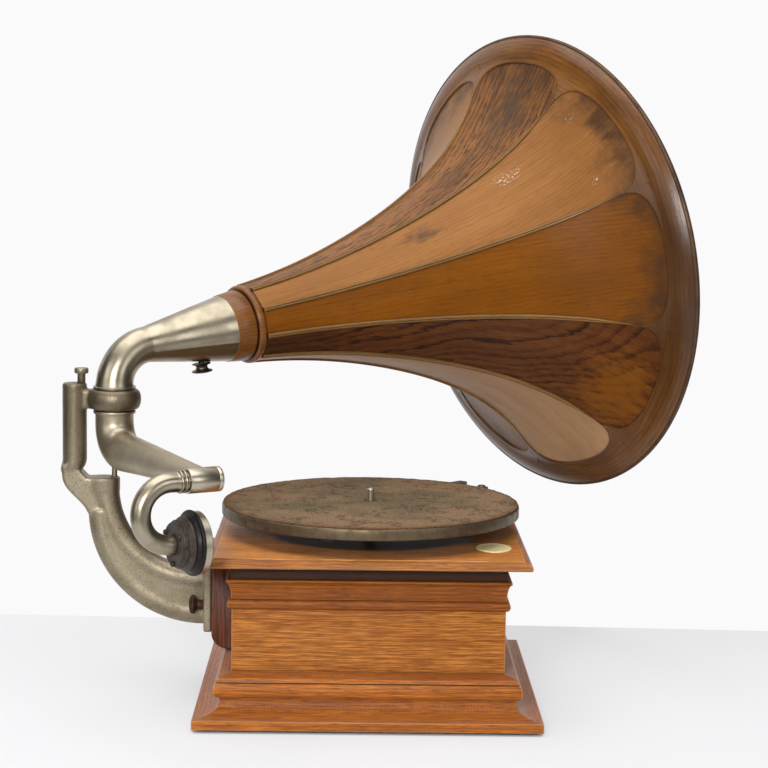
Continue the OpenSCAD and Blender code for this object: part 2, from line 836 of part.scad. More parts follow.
module horn_panel(i) {
    color(i % 2 == 0 ? "#7c4a22" : "#b06f35") at_horn()
        rotate([0, 0, seam_turn + (i - 1) * panel_turn + seam_gap / 2])
        rotate_extrude(angle = panel_turn - seam_gap)
        polygon(horn_band(collar_end + joint_gap, rim_start - joint_gap, panel_steps));
}

module horn_ribs() {
    line = stations(collar_end + joint_gap, rim_start - joint_gap, panel_steps);
    band = concat([for (s = line) [horn_r(s) + joint_gap + rib_h, s]],
        [for (s = backwards(line)) [horn_r(s) + joint_gap, s]]);
    color("#8e5a2a") at_horn() for (i = [0:panel_count - 1]) rotate([90, 0, seam_turn + i * panel_turn])
        linear_extrude(rib_w, center = true) polygon(band);
}

module horn_rim() {
    color("#6f4120") at_horn() rotate_extrude() difference() {
        polygon(horn_band(rim_start, rim_end, arc_steps));
        translate(edge_at) circle(d = edge_d + 2 * joint_gap);
    }
}

module horn_edge_bead() {
    color("#3a2a1c") at_horn() rotate_extrude() translate(edge_at) circle(d = edge_d);
}

// Tonearm

module arm_run(shrink) {
    d = arm_tube_d - 2 * shrink;
    translate([0, 0, arm_z + arm_elbow]) cylinder(d = d, h = neck_z + flange_h - arm_z - arm_elbow);
    translate([0, 0, arm_z + arm_elbow]) mirror([0, 0, 1]) bend(arm_elbow, 90, d);
    translate([arm_elbow, 0, arm_z]) rotate([0, 90, 0])
        cylinder(d1 = d, d2 = arm_tip_d - 2 * shrink, h = arm_len - arm_elbow);
}

module cross_axis() {
    at_arm() translate([arm_len, 0, arm_z]) rotate([-90, 0, 0]) children();
}

// Socket under the arm's elbow, for the pivot pin
module arm_socket() {
    translate([0, 0, socket_z]) cylinder(d = socket_d, h = socket_h);
}

module tonearm_tube() {
    color("#b0a78f") difference() {
        at_arm() difference() {
            union() {
                arm_run(0);
                translate([0, 0, neck_z])
                    cylinder(d = ring_bore - 2 * running_gap, h = ring_z + spigot_h - seat_gap - neck_z);
                translate([0, 0, neck_z]) cylinder(d = flange_d, h = flange_h);
                arm_socket();
            }
            difference() {
                arm_run(tube_wall);
                arm_socket();
            }
            translate([0, 0, neck_z]) cylinder(d = arm_tube_d - 2 * tube_wall, h = ring_h);
            translate([0, 0, boss_top])
                cylinder(d = pin_d + 2 * running_gap, h = pin_top - boss_top + seat_gap);
        }
        cross_axis() cylinder(d = cross_d + 2 * joint_gap, h = 3 * cross_len, center = true);
    }
}

module tonearm_cross_tube() {
    bore = spigot_d + 2 * running_gap;
    color("#bdb49d") difference() {
        cross_axis() difference() {
            translate([0, 0, -cross_left]) cylinder(d = cross_d, h = cross_len);
            translate([0, 0, -cross_left - weld]) cylinder(d = bore, h = cross_len - cross_cap + weld);
        }
        at_arm() translate([arm_len - cross_d, 0, arm_z]) rotate([0, 90, 0])
            cylinder(d = arm_tip_d - 2 * tube_wall - weld, h = cross_d);
    }
}

module gooseneck_tube() {
    bore = spigot_d - 3;
    color("#b5ac95") at_goose() difference() {
        union() {
            translate([0, 0, cross_left - goose_spigot]) cylinder(d = spigot_d, h = goose_leg - cross_left);
            translate([0, 0, cross_left + seat_gap])
                cylinder(d = goose_d, h = goose_leg - cross_left - seat_gap);
            for (z = goose_beads) translate([0, 0, cross_left + z]) rotate_extrude()
                translate([goose_d / 2, 0]) circle(d = goose_bead_d);
            translate([0, 0, goose_leg]) bend(goose_bend, 180, goose_d);
            translate([2 * goose_bend, 0, leg_end]) cylinder(d = goose_d, h = goose_leg - leg_end);
            translate([2 * goose_bend, 0, isolator_z + isolator_lip + seat_gap])
                cylinder(d = spigot_d, h = goose_leg - isolator_z - isolator_lip - seat_gap);
        }
        cylinder(d = bore, h = goose_leg);
        translate([0, 0, goose_leg]) bend(goose_bend, 180, bore);
        translate([2 * goose_bend, 0, isolator_z]) cylinder(d = bore, h = goose_leg - isolator_z);
    }
}

// Soundbox

module box_screw_holes() {
    for (a = [0:120:240]) rotate([0, 0, a]) translate([box_screw_r, 0, back_z + weld])
        cylinder(d = box_screw_d + 2 * joint_gap, h = back_t + isolator_t);
}

module soundbox_isolator() {
    r = isolator_d / 2;
    bore = spigot_d / 2 + joint_gap;
    color("#33241d") at_soundbox() difference() {
        rotate_extrude() polygon([[bore, isolator_z + isolator_lip], [box_hole_r, isolator_z + isolator_lip],
            [box_hole_r, isolator_z], [r + isolator_foot, isolator_z],
            [r + isolator_foot - 1, isolator_z + 3], [r - 1, isolator_z + 5], [r, isolator_z + 6.5],
            [r, leg_end - 3.4], [r - 2, leg_end - 2.4], [r - 2, leg_end], [bore, leg_end]]);
        box_screw_holes();
    }
}

module soundbox_back_plate() {
    r = box_d / 2;
    color("#23211f") at_soundbox() difference() {
        rotate_extrude() polygon(concat([[box_hole_r, back_z], [r - 1, back_z]],
            arc([r - 1.5, back_z + 1.8], 1.5, 1.8, -60, 90),
            [[r - 4, back_z + back_t * 0.67], [r - 6, isolator_z], [box_hole_r, isolator_z]]));
        box_screw_holes();
    }
}

module soundbox_rim() {
    r = box_rim_d / 2;
    color("#c2bba9") at_soundbox() difference() {
        union() {
            rotate_extrude() polygon([[r - rim_wall, back_z], [r - rim_wall, box_face + rim_lip_t],
                [r - rim_wall - rim_lip, box_face + rim_lip_t], [r - rim_wall - rim_lip, box_face],
                [r - 1.2, box_face], [r, box_face + 1.2], [r, back_z]]);
            rotate([0, 0, -needle_turn]) for (side = [-pivot_side, pivot_side])
                translate([pivot_u - pivot_ear / 2, side - pivot_ear / 2, needle_w - pivot_ear / 2])
                cube([pivot_ear, pivot_ear, box_face - needle_w + pivot_ear / 2 + weld]);
        }
        rotate([0, 0, -needle_turn]) translate([pivot_u, 0, needle_w]) rotate([90, 0, 0])
            cylinder(d = pivot_d + 2 * running_gap, h = box_d / 2, center = true);
    }
}

module soundbox_screws() {
    color("#4a4038") at_soundbox() for (a = [0:120:240]) rotate([0, 0, a])
        translate([box_screw_r, 0, 0]) {
            translate([0, 0, back_z + weld + seat_gap])
                cylinder(d = box_screw_d, h = leg_end - back_z - weld);
            translate([0, 0, leg_end]) cylinder(d = box_screw_head_d, h = box_screw_head_h);
        }
}

// Two rubber rings hold the edge of the diaphragm
module soundbox_gaskets() {
    r = box_rim_d / 2 - rim_wall - joint_gap;
    rear_z = gasket_z + gasket_t + diaphragm_t + 2 * joint_gap;
    color("#2b2622") at_soundbox() for (z = [gasket_z, rear_z]) translate([0, 0, z]) difference() {
        cylinder(r = r, h = gasket_t);
        translate([0, 0, -weld]) cylinder(r = r - gasket_w, h = gasket_t + 2 * weld);
    }
}

module soundbox_diaphragm() {
    color("#d8d2bf") at_soundbox() translate([0, 0, gasket_z + gasket_t + joint_gap])
        cylinder(r = box_rim_d / 2 - rim_wall - 4 * joint_gap, h = diaphragm_t);
}

module stylus_bar() {
    color("#a8a08e") at_stylus() difference() {
        union() {
            translate([-bar_t, -bar_w / 2, needle_w - bar_t / 2]) cube([chuck_u + 2 * bar_t, bar_w, bar_t]);
            translate([pivot_u, 0, needle_w]) rotate([90, 0, 0])
                cylinder(d = pivot_d, h = 2 * pivot_side + pivot_ear - seat_gap, center = true);
            translate([chuck_u, 0, needle_w]) rotate([0, 90, 0]) cylinder(d = chuck_d, h = chuck_l);
        }
        translate([chuck_u + chuck_d / 2, 0, needle_w]) rotate([0, 90, 0])
            cylinder(d = needle_d + 2 * joint_gap, h = chuck_l);
        translate([grip_screw_u, 0, needle_w]) rotate([90, 0, 0])
            cylinder(d = grip_screw_d + 2 * running_gap, h = chuck_d);
    }
}

module needle_screw() {
    color("#9b927e") at_stylus() translate([grip_screw_u, 0, needle_w]) rotate([90, 0, 0]) {
        translate([0, 0, needle_d / 2 + seat_gap]) cylinder(d = grip_screw_d, h = grip_screw_l);
        translate([0, 0, grip_screw_l + seat_gap]) cylinder(d = grip_head_d, h = grip_head_h);
    }
}

module needle() {
    start = chuck_u + chuck_d / 2;
    shank = needle_reach - start - needle_point;
    color("#8f8a80") at_stylus() translate([start, 0, needle_w]) rotate([0, 90, 0]) {
        cylinder(d = needle_d, h = shank);
        translate([0, 0, shank]) cylinder(d1 = needle_d, d2 = needle_d / 5, h = needle_point);
    }
}

// Turntable

module turntable_platter() {
    r = table_d / 2;
    bore = spindle_seat_d / 2 + joint_gap;
    color("#8c8473") translate([spindle_x, 0, 0]) rotate_extrude() polygon([
        [bore, table_top], [r - table_nick, table_top], [r, table_top - table_nick], [r, rim_z + 0.8],
        [r - 0.8, rim_z], [r - table_wall, rim_z], [r - table_wall, table_top - table_t],
        [hub_d / 2, table_top - table_t], [hub_d / 2, hub_z], [bore, hub_z]]);
}

module turntable_felt() {
    color("#5a4630") translate([spindle_x, 0, table_top]) difference() {
        cylinder(r = table_d / 2 - table_nick, h = felt_t);
        translate([0, 0, -weld]) cylinder(d = spindle_seat_d + 2 * joint_gap, h = felt_t + 2 * weld);
    }
}

module turntable_spindle() {
    tip = felt_top + spindle_tip;
    color("#bab29d") translate([spindle_x, 0, 0]) rotate_extrude() polygon(concat(
        [[0, low_z], [spindle_foot_d / 2, low_z], [spindle_foot_d / 2, low_top + seat_gap],
            [spindle_low_d / 2, low_top + seat_gap], [spindle_low_d / 2, hub_z], [spindle_seat_d / 2, hub_z],
            [spindle_seat_d / 2, felt_top], [spindle_d / 2, felt_top]],
        arc([spindle_d / 2 - spindle_round, tip - spindle_round], spindle_round, spindle_round, 0, 90),
        [[0, tip]]));
}

module spindle_gears() {
    color("#a98b45") translate([spindle_x, 0, 0]) difference() {
        union() {
            translate([0, 0, wheel_z - pinion_over]) rotate([0, 0, spindle_to_wheel])
                gear(pinion_teeth, gear_m, pinion_h);
            translate([0, 0, wheel_z]) cylinder(d = sleeve_d, h = worm_z - wheel_z);
            translate([0, 0, worm_z - worm_wheel_h / 2]) gear(worm_wheel_teeth, worm_m, worm_wheel_h);
        }
        cylinder(d = spindle_low_d + 2 * joint_gap, h = deck_z);
    }
}

// Spring motor

module plate_blank(z, t) {
    translate([motor_low.x, motor_low.y, z])
        cube([motor_high.x - motor_low.x, motor_high.y - motor_low.y, t]);
}

module pillar_holes() {
    for (p = pillar_at) translate([p.x, p.y, 0])
        cylinder(d = pillar_bolt_d + 2 * running_gap, h = 2 * deck_top);
}

module plate_holes() {
    pillar_holes();
    translate([barrel_at.x, barrel_at.y, 0]) cylinder(d = arbor_d + 2 * running_gap, h = deck_z);
    translate([wheel_at.x, wheel_at.y, 0]) cylinder(d = wheel_arbor_d + 2 * running_gap, h = deck_z);
}

module motor_bedplate() {
    color("#3f4543") difference() {
        union() {
            plate_blank(bed_z, bed_t);
            for (y = [-governor_half, governor_half])
                translate([governor_x - hanger_w / 2, y - hanger_t / 2, worm_z - hanger_w / 2])
                cube([hanger_w, hanger_t, bed_z - worm_z + hanger_w / 2 + weld]);
        }
        plate_holes();
        translate([spindle_x, 0, 0]) cylinder(d = spindle_low_d + 2 * running_gap, h = deck_z);
        translate([governor_x, 0, worm_z]) rotate([90, 0, 0])
            cylinder(d = governor_d + 2 * running_gap, h = 4 * governor_half, center = true);
    }
}

module motor_lower_plate() {
    color("#3f4543") difference() {
        union() {
            plate_blank(low_z, low_t);
            translate([barrel_at.x - crank_post_w / 2, motor_high.y - crank_post_t, low_top - weld])
                cube([crank_post_w, crank_post_t, crank_z - low_top + crank_post_w / 2 + weld]);
        }
        plate_holes();
        translate([spindle_x, 0, 0]) cylinder(d = spindle_foot_d + 2 * running_gap, h = deck_z);
        translate([barrel_at.x, motor_high.y, crank_z]) rotate([90, 0, 0])
            cylinder(d = shaft_d + 2 * running_gap, h = 4 * crank_post_t, center = true);
    }
}

// Four tie bolts through the deck, with distance tubes above and below the bedplate
module motor_pillars() {
    color("#8d8671") for (p = pillar_at) translate([p.x, p.y, 0]) {
        translate([0, 0, deck_top - pillar_head_h]) cylinder(d = pillar_head_d, h = pillar_head_h);
        translate([0, 0, low_z - pillar_nut_h])
            cylinder(d = pillar_bolt_d, h = deck_top - low_z + pillar_nut_h - weld);
        translate([0, 0, low_z - pillar_nut_h]) cylinder(d = pillar_nut_d, h = pillar_nut_h - joint_gap);
        for (span = [[low_top, bed_z], [bed_top, deck_z]])
            translate([0, 0, span[0] + joint_gap]) difference() {
                cylinder(d = pillar_d, h = span[1] - span[0] - 2 * joint_gap);
                translate([0, 0, -weld]) cylinder(d = pillar_bolt_d + 4 * running_gap, h = deck_z);
            }
    }
}

module spring_barrel() {
    color("#6f6a5c") translate([barrel_at.x, barrel_at.y, barrel_z]) difference() {
        union() {
            cylinder(d = barrel_d, h = barrel_h);
            rotate([0, 0, wheel_to_barrel + 180 + 180 / barrel_teeth])
                gear(barrel_teeth, gear_m, barrel_gear_h);
        }
        translate([0, 0, barrel_wall]) cylinder(d = barrel_d - 2 * barrel_wall, h = barrel_h);
        translate([0, 0, -weld]) cylinder(d = arbor_d + 4 * running_gap, h = barrel_h);
    }
}

module mainspring() {
    inner = (arbor_d + spring_hub) / 2 + spring_t + 3 * seat_gap;
    outer = barrel_d / 2 - barrel_wall - seat_gap;
    color("#4d4f55") translate([barrel_at.x, barrel_at.y, barrel_z + barrel_wall + seat_gap])
        linear_extrude(barrel_h - 2 * barrel_wall)
        polygon(spiral(inner, outer, spring_turns, spring_t, 18 * spring_turns));
}

module winding_arbor() {
    tooth = 2 * crown_m;
    color("#8a7c4e") translate([barrel_at.x, barrel_at.y, 0]) {
        translate([0, 0, low_z]) cylinder(d = arbor_d, h = bed_top - low_z);
        translate([0, 0, barrel_z + barrel_wall + weld])
            cylinder(d = arbor_d + spring_hub, h = barrel_h - 2 * barrel_wall - 2 * weld);
        translate([0, 0, crown_pitch_z + crown_m]) cylinder(r = crown_r + crown_face / 2, h = crown_t);
        for (i = [0:crown_teeth - 1]) rotate([0, 0, (i + 0.5) * 360 / crown_teeth])
            translate([crown_r - crown_face / 2, -crown_tooth / 2, crown_pitch_z + crown_m + weld - tooth])
            cube([crown_face, crown_tooth, tooth]);
    }
}

module intermediate_gears() {
    color("#a98b45") translate([wheel_at.x, wheel_at.y, 0]) {
        translate([0, 0, low_z]) cylinder(d = wheel_arbor_d, h = bed_top - low_z);
        translate([0, 0, wheel_z]) rotate([0, 0, spindle_to_wheel + 180 + 180 / wheel_teeth])
            gear(wheel_teeth, gear_m, wheel_h);
        translate([0, 0, barrel_z - weld]) rotate([0, 0, wheel_to_barrel])
            gear(pinion_teeth, gear_m, pinion_h);
    }
}

module governor_shaft() {
    color("#8d8a80") translate([governor_x, 0, worm_z]) rotate([90, 0, 0]) {
        cylinder(d = governor_d, h = 2 * governor_half + hanger_t, center = true);
        translate([0, 0, -worm_l / 2])
            linear_extrude(worm_l, twist = 360 * worm_l / (worm_starts * PI * worm_m), slices = worm_l)
            circle(d = worm_d, $fn = worm_starts);
    }
}

// Three weights on flat springs between two collars, with the friction disc at the far end
module governor_weights() {
    color("#b08d3f") translate([governor_x, governor_y, worm_z]) rotate([-90, 0, 0]) difference() {
        union() {
            cylinder(d = governor_collar_d, h = governor_collar);
            translate([0, 0, governor_l - governor_collar])
                cylinder(d = governor_collar_d, h = governor_collar);
            translate([0, 0, governor_l]) cylinder(d = 2 * governor_collar_d, h = governor_disc);
            for (a = [0:120:240]) rotate([0, 0, a]) {
                translate([weight_r - weight_d / 2, -2, 0]) cube([1, 4, governor_l]);
                translate([weight_r, 0, governor_l / 2]) sphere(d = weight_d);
            }
        }
        translate([0, 0, -weld]) cylinder(d = governor_d + 2 * joint_gap, h = 2 * governor_l);
    }
}

// Crank

module crank_escutcheon() {
    color("#a8884a") translate([barrel_at.x, wall_half, crank_z]) rotate([-90, 0, 0]) difference() {
        union() {
            cylinder(d = escutcheon_d, h = escutcheon_t);
            translate([0, 0, -wall_t]) cylinder(d = bush_d, h = wall_t + 2 * escutcheon_t);
        }
        translate([0, 0, -2 * wall_t]) cylinder(d = shaft_d + 2 * running_gap, h = 4 * wall_t);
    }
}

module crank_shaft() {
    color("#989080") translate([barrel_at.x, 0, crank_z]) {
        translate([0, crank_y - weld, 0]) rotate([-90, 0, 0])
            cylinder(d = shaft_d, h = arm_y - crank_y + 2 * weld);
        translate([0, crank_y, 0]) rotate([-90, 0, 0]) gear(pinion_teeth, crown_m, crank_pinion_h);
        translate([0, arm_y, 0]) rotate([-90, 0, 0]) {
            cylinder(d = shaft_d + 8, h = crank_arm_t);
            translate([-crank_arm_w / 2, 0, 0]) cube([crank_arm_w, crank_arm, crank_arm_t]);
            translate([0, crank_arm, 0]) cylinder(d = crank_eye_d, h = crank_arm_t);
            translate([0, crank_arm, 0]) cylinder(d = grip_pin_d, h = grip_end + weld);
            translate([0, crank_arm, grip_end]) cylinder(d = grip_cap_d, h = grip_cap_h);
        }
    }
}

module crank_grip() {
    r = grip_d / 2;
    bore = grip_pin_d / 2 + running_gap;
    color("#4a2c1a") translate([barrel_at.x, arm_y + crank_arm_t + grip_play, crank_z - crank_arm])
        rotate([-90, 0, 0]) rotate_extrude() polygon(concat([[bore, 0], [r - 4, 0]],
            arc([r - 5, grip_l / 2], 5, grip_l / 2 - weld, -80, 80, 12), [[r - 4, grip_l], [bore, grip_l]]));
}

// Brake

module at_brake() {
    translate([brake_at.x, brake_at.y, 0]) rotate([0, 0, brake_angle]) children();
}

module brake_bracket() {
    color("#8d8671") at_brake() {
        translate([0, 0, deck_top]) cylinder(d = brake_foot_d, h = brake_foot_h);
        translate([0, 0, deck_top]) cylinder(d = brake_pin_d, h = brake_top - deck_top);
        translate([0, 0, deck_top]) cylinder(d = brake_eye_d, h = rim_z - seat_gap - deck_top);
    }
}

// The arm reaches along the rim, and its pad stands just off the turntable
module brake_lever() {
    pad_far = brake_arm - brake_pad_w / 2;
    pad_x = sqrt(pow(table_d / 2 + seat_gap, 2) - pow(pad_far, 2)) - brake_r;
    color("#8d8671") at_brake() translate([0, 0, rim_z]) difference() {
        union() {
            cylinder(d = brake_eye_d, h = brake_eye_h);
            translate([-brake_bar_w / 2, -brake_tail, 0])
                cube([brake_bar_w, brake_tail + brake_arm, brake_bar_t]);
            translate([pad_x, pad_far, 0]) cube([brake_bar_w / 2 - pad_x, brake_pad_w, rim_h - weld]);
        }
        translate([0, 0, -weld]) cylinder(d = brake_pin_d + 2 * running_gap, h = 2 * brake_eye_h);
    }
}

bottom_board();
plinth_moulding();
wall_left();
wall_right();
wall_front();
wall_back();
waist_moulding();
cornice_moulding();
deck_board();
badge_plate();
bracket_block();
horn_bracket();
bracket_bolts();
tonearm_pivot_pin();
bracket_thumb_screw();
horn_elbow();
horn_thumb_screw();
horn_collar();
for (i = [1:panel_count]) horn_panel(i);
horn_ribs();
horn_rim();
horn_edge_bead();
tonearm_tube();
tonearm_cross_tube();
gooseneck_tube();
soundbox_isolator();
soundbox_back_plate();
soundbox_rim();
soundbox_screws();
soundbox_gaskets();
soundbox_diaphragm();
stylus_bar();
needle_screw();
needle();
turntable_platter();
turntable_felt();
turntable_spindle();
spindle_gears();
motor_bedplate();
motor_lower_plate();
motor_pillars();
spring_barrel();
mainspring();
winding_arbor();
intermediate_gears();
governor_shaft();
governor_weights();
crank_escutcheon();
crank_shaft();
crank_grip();
brake_bracket();
brake_lever();
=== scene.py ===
from math import atan2, cos, exp, hypot, pi, radians, sin, tan

import bmesh
import bpy
from mathutils import Matrix, Vector, noise
from mathutils.geometry import tessellate_polygon


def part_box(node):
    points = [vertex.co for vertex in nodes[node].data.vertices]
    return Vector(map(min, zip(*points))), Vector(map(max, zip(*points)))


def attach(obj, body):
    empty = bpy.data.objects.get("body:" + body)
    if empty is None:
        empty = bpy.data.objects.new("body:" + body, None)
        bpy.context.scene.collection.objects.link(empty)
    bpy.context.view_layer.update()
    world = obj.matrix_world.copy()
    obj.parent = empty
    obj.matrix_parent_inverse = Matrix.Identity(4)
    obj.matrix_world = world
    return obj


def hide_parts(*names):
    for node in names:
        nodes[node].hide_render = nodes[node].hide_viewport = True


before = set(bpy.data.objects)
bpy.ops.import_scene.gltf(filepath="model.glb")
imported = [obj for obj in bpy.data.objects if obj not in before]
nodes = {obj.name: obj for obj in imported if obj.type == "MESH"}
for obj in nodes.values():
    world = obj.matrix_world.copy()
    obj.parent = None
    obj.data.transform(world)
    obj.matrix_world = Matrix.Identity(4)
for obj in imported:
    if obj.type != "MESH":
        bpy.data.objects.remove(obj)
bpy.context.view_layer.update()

# Camera: the photograph's long-lens view of the machine from one side and from a little above the turntable.
# It stands 2.07 m off, is aimed down by 6.7 degrees, and leans by 0.8 of a degree.
MM = 0.001
scene = bpy.context.scene
scene.view_settings.view_transform = "Standard"
eye = Vector((-17.4, -2065.7, 561.05)) * MM
yaw, pitch, roll = 0.0149, 0.1165, 0.0144
forward = Vector((sin(yaw) * cos(pitch), cos(yaw) * cos(pitch), -sin(pitch)))
level = Vector((cos(yaw), -sin(yaw), 0))
upright = level.cross(forward)
right = cos(roll) * level + sin(roll) * upright
up = -sin(roll) * level + cos(roll) * upright
lens = bpy.data.cameras.new("studio_camera")
lens.sensor_width = 36
lens.lens = 95.4
lens.clip_end = 50
camera = bpy.data.objects.new("studio_camera", lens)
camera.matrix_world = Matrix.Translation(eye) @ Matrix((right, up, -forward)).transposed().to_4x4()
scene.collection.objects.link(camera)
scene.camera = camera

# Floor and backdrop: a table top painted white that ends a little behind the case, with a white paper wall hung
# well behind it. Both are lifted towards white for what sees them straight or in a shine.
floor_near, far_left, far_right, floor_side = -900, 339, 256, 850
wall_y, wall_low, wall_high, wall_side = 7000, -6500, 12000, 16000


def colour(hex_value):
    """The linear colour of an sRGB hex value."""
    parts = [int(hex_value[i:i + 2], 16) / 255 for i in (1, 3, 5)]
    return [c / 12.92 if c <= 0.04045 else ((c + 0.055) / 1.055) ** 2.4 for c in parts] + [1.0]


def add(tree, kind, links=None, **settings):
    """Adds one shader node. A link's value is a socket, a node whose first output is joined, or a constant."""
    new = tree.nodes.new("ShaderNode" + kind)
    for name, value in settings.items():
        setattr(new, name, value)
    for name, value in (links or {}).items():
        socket = new.inputs[name] if isinstance(name, int) else next(
            s for s in new.inputs if s.name == name and s.enabled)
        if isinstance(value, bpy.types.Node):
            value = next(s for s in value.outputs if s.enabled)
        if isinstance(value, bpy.types.NodeSocket):
            tree.links.new(value, socket)
        else:
            socket.default_value = value
    return new


def new_material(name):
    """An empty material and its node tree."""
    made = bpy.data.materials.new(name)
    made.use_nodes = True
    made.node_tree.nodes.clear()
    return made, made.node_tree


def stage_sheet(name, corners):
    """A flat sheet of the studio, by its corners in millimetres."""
    mesh = bpy.data.meshes.new(name)
    mesh.from_pydata([Vector(c) * MM for c in corners], [], [(0, 1, 2, 3)])
    sheet = bpy.data.objects.new(name, mesh)
    scene.collection.objects.link(sheet)
    return sheet


table_sheet = stage_sheet("table_top", [(-floor_side, floor_near, 0), (floor_side, floor_near, 0),
                                        (floor_side, far_right, 0), (-floor_side, far_left, 0)])
paper_wall = stage_sheet("paper_wall", [(-wall_side, wall_y, wall_low), (wall_side, wall_y, wall_low),
                                        (wall_side, wall_y, wall_high), (-wall_side, wall_y, wall_high)])


def seen_straight(tree):
    """One for what the camera sees, straight, in a shine or through glass, and nought for light on the object."""
    path = add(tree, "LightPath")
    shine = add(tree, "Math", {0: path.outputs["Is Camera Ray"], 1: path.outputs["Is Glossy Ray"]},
                operation="ADD")
    return add(tree, "Math", {0: shine, 1: path.outputs["Is Transmission Ray"]}, operation="ADD",
               use_clamp=True)


# Matt white paint: even and soft, with the faint mottle of a roller. A glow keeps it from greying out in the open,
# and fades within 90 mm of the case, where only the paint and its shadow show.
clear_by = 90
table_paint, tree = new_material("white_table_paint")
spot = add(tree, "TexCoord")
mottle = add(tree, "TexNoise", {"Vector": spot.outputs["Object"], "Scale": 3.0, "Detail": 3.0})
tone = add(tree, "Mix", {"Factor": mottle.outputs["Fac"], "A": colour("#e3e4e7"), "B": colour("#e9eaec")},
           data_type="RGBA")
matt = add(tree, "BsdfPrincipled", {"Base Color": tone, "Roughness": 0.55})
nearby = add(tree, "AmbientOcclusion", {"Distance": clear_by * MM}, samples=8)
clear = add(tree, "MapRange", {"Value": nearby.outputs["AO"], "From Min": 0.1, "From Max": 0.65, "To Max": 0.6})
lifted = add(tree, "Math", {0: clear, 1: seen_straight(tree)}, operation="MULTIPLY")
glow = add(tree, "Emission", {"Color": colour("#f2f2f3"), "Strength": 1.0})
table_face = add(tree, "MixShader", {0: lifted, 1: matt, 2: glow})
add(tree, "OutputMaterial", {"Surface": table_face})
table_sheet.data.materials.append(table_paint)

# White paper, lit from behind: one flat white to look at, at half strength as a light on the object.
wall_paper, tree = new_material("white_background_paper")
glow = add(tree, "Emission", {"Color": colour("#fbfafb"), "Strength": 1.0})
dim = add(tree, "Emission", {"Color": colour("#fbfafb"), "Strength": 0.5})
paper = add(tree, "MixShader", {0: seen_straight(tree), 1: dim, 2: glow})
add(tree, "OutputMaterial", {"Surface": paper})
paper_wall.data.materials.append(wall_paper)

# Light: a large soft box overhead, a small one over the camera, and weak ones at both sides, in a dim grey room.
# Each has a place and an aim in millimetres, a width and a height in metres, and a power in watts.
room = bpy.data.worlds.new("grey_room")
scene.world = room
room.use_nodes = True
grey = room.node_tree.nodes["Background"]
grey.inputs["Color"].default_value = colour("#d9dbe0")
grey.inputs["Strength"].default_value = 0.06
for name, place, aim, wide, high, watts in (
        ("overhead_box", (-250, -350, 2500), (0, -100, 0), 3.2, 2.2, 68),
        ("front_box", (-500, -2450, 950), (0, 0, 180), 0.5, 0.5, 42),
        ("left_box", (-2000, -1500, 1100), (-100, 0, 250), 1.2, 1.6, 12),
        ("right_box", (1700, -2000, 1000), (0, 0, 250), 1.0, 1.2, 12)):
    lamp = bpy.data.lights.new(name, "AREA")
    lamp.shape = "RECTANGLE"
    lamp.size, lamp.size_y, lamp.energy = wide, high, watts
    box = bpy.data.objects.new(name, lamp)
    box.location = Vector(place) * MM
    box.rotation_euler = (Vector(aim) - Vector(place)).to_track_quat("-Z", "Y").to_euler()
    scene.collection.objects.link(box)

# Case walls and bottom: four plain oak boards, butted and glued at the corners on a square bottom board.
# Each board's grain runs level, and its arrises are rubbed off by hand.
board_half, board_t = 158.2, 12
wall_half, wall_t, wall_top = 133, 12, 158
arris = 0.7


def piece(name, body, replaced, verts, faces, material, uvs=None, sharp=40):
    """A mesh given in millimetres, as a piece that rides on a body and stands for CAD nodes."""
    mesh = bpy.data.meshes.new(name)
    mesh.from_pydata([Vector(v) * MM for v in verts], [], faces)
    if uvs:
        layer = mesh.uv_layers.new(name="grain")
        corner = 0
        for face in uvs:
            for uv in face:
                layer.data[corner].uv = uv
                corner += 1
    work = bmesh.new()
    work.from_mesh(mesh)
    bmesh.ops.remove_doubles(work, verts=work.verts, dist=2e-6)
    bmesh.ops.recalc_face_normals(work, faces=work.faces)
    work.to_mesh(mesh)
    work.free()
    mesh.shade_smooth()
    mesh.set_sharp_from_angle(angle=radians(sharp))
    made = bpy.data.objects.new(name, mesh)
    made.data.materials.append(material)
    scene.collection.objects.link(made)
    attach(made, body)
    if replaced:
        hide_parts(*replaced)
    return made


def board(name, low, high, along, material, replaced):
    """A sawn board of the case with rubbed edges. Its grain runs along one axis."""
    work = bmesh.new()
    bmesh.ops.create_cube(work, size=1)
    middle = (Vector(low) + Vector(high)) / 2
    size = Vector(high) - Vector(low)
    for v in work.verts:
        v.co = Vector([middle[i] + v.co[i] * size[i] for i in range(3)])
    bmesh.ops.bevel(work, geom=work.edges[:], offset=arris, segments=2, affect="EDGES", profile=0.6)
    work.verts.index_update()
    verts = [v.co.copy() for v in work.verts]
    faces, uvs = [], []  # each face starts at a place of its own on the grain
    for f in work.faces:
        flat = max((i for i in range(3) if i != along), key=lambda i: abs(f.normal[i]))
        across = 3 - along - flat
        faces.append([v.index for v in f.verts])
        uvs.append([(v.co[along], v.co[across] + 0.35 * v.co[flat] + 37 * flat) for v in f.verts])
    work.free()
    return piece(name, "case", replaced, verts, faces, material, uvs)


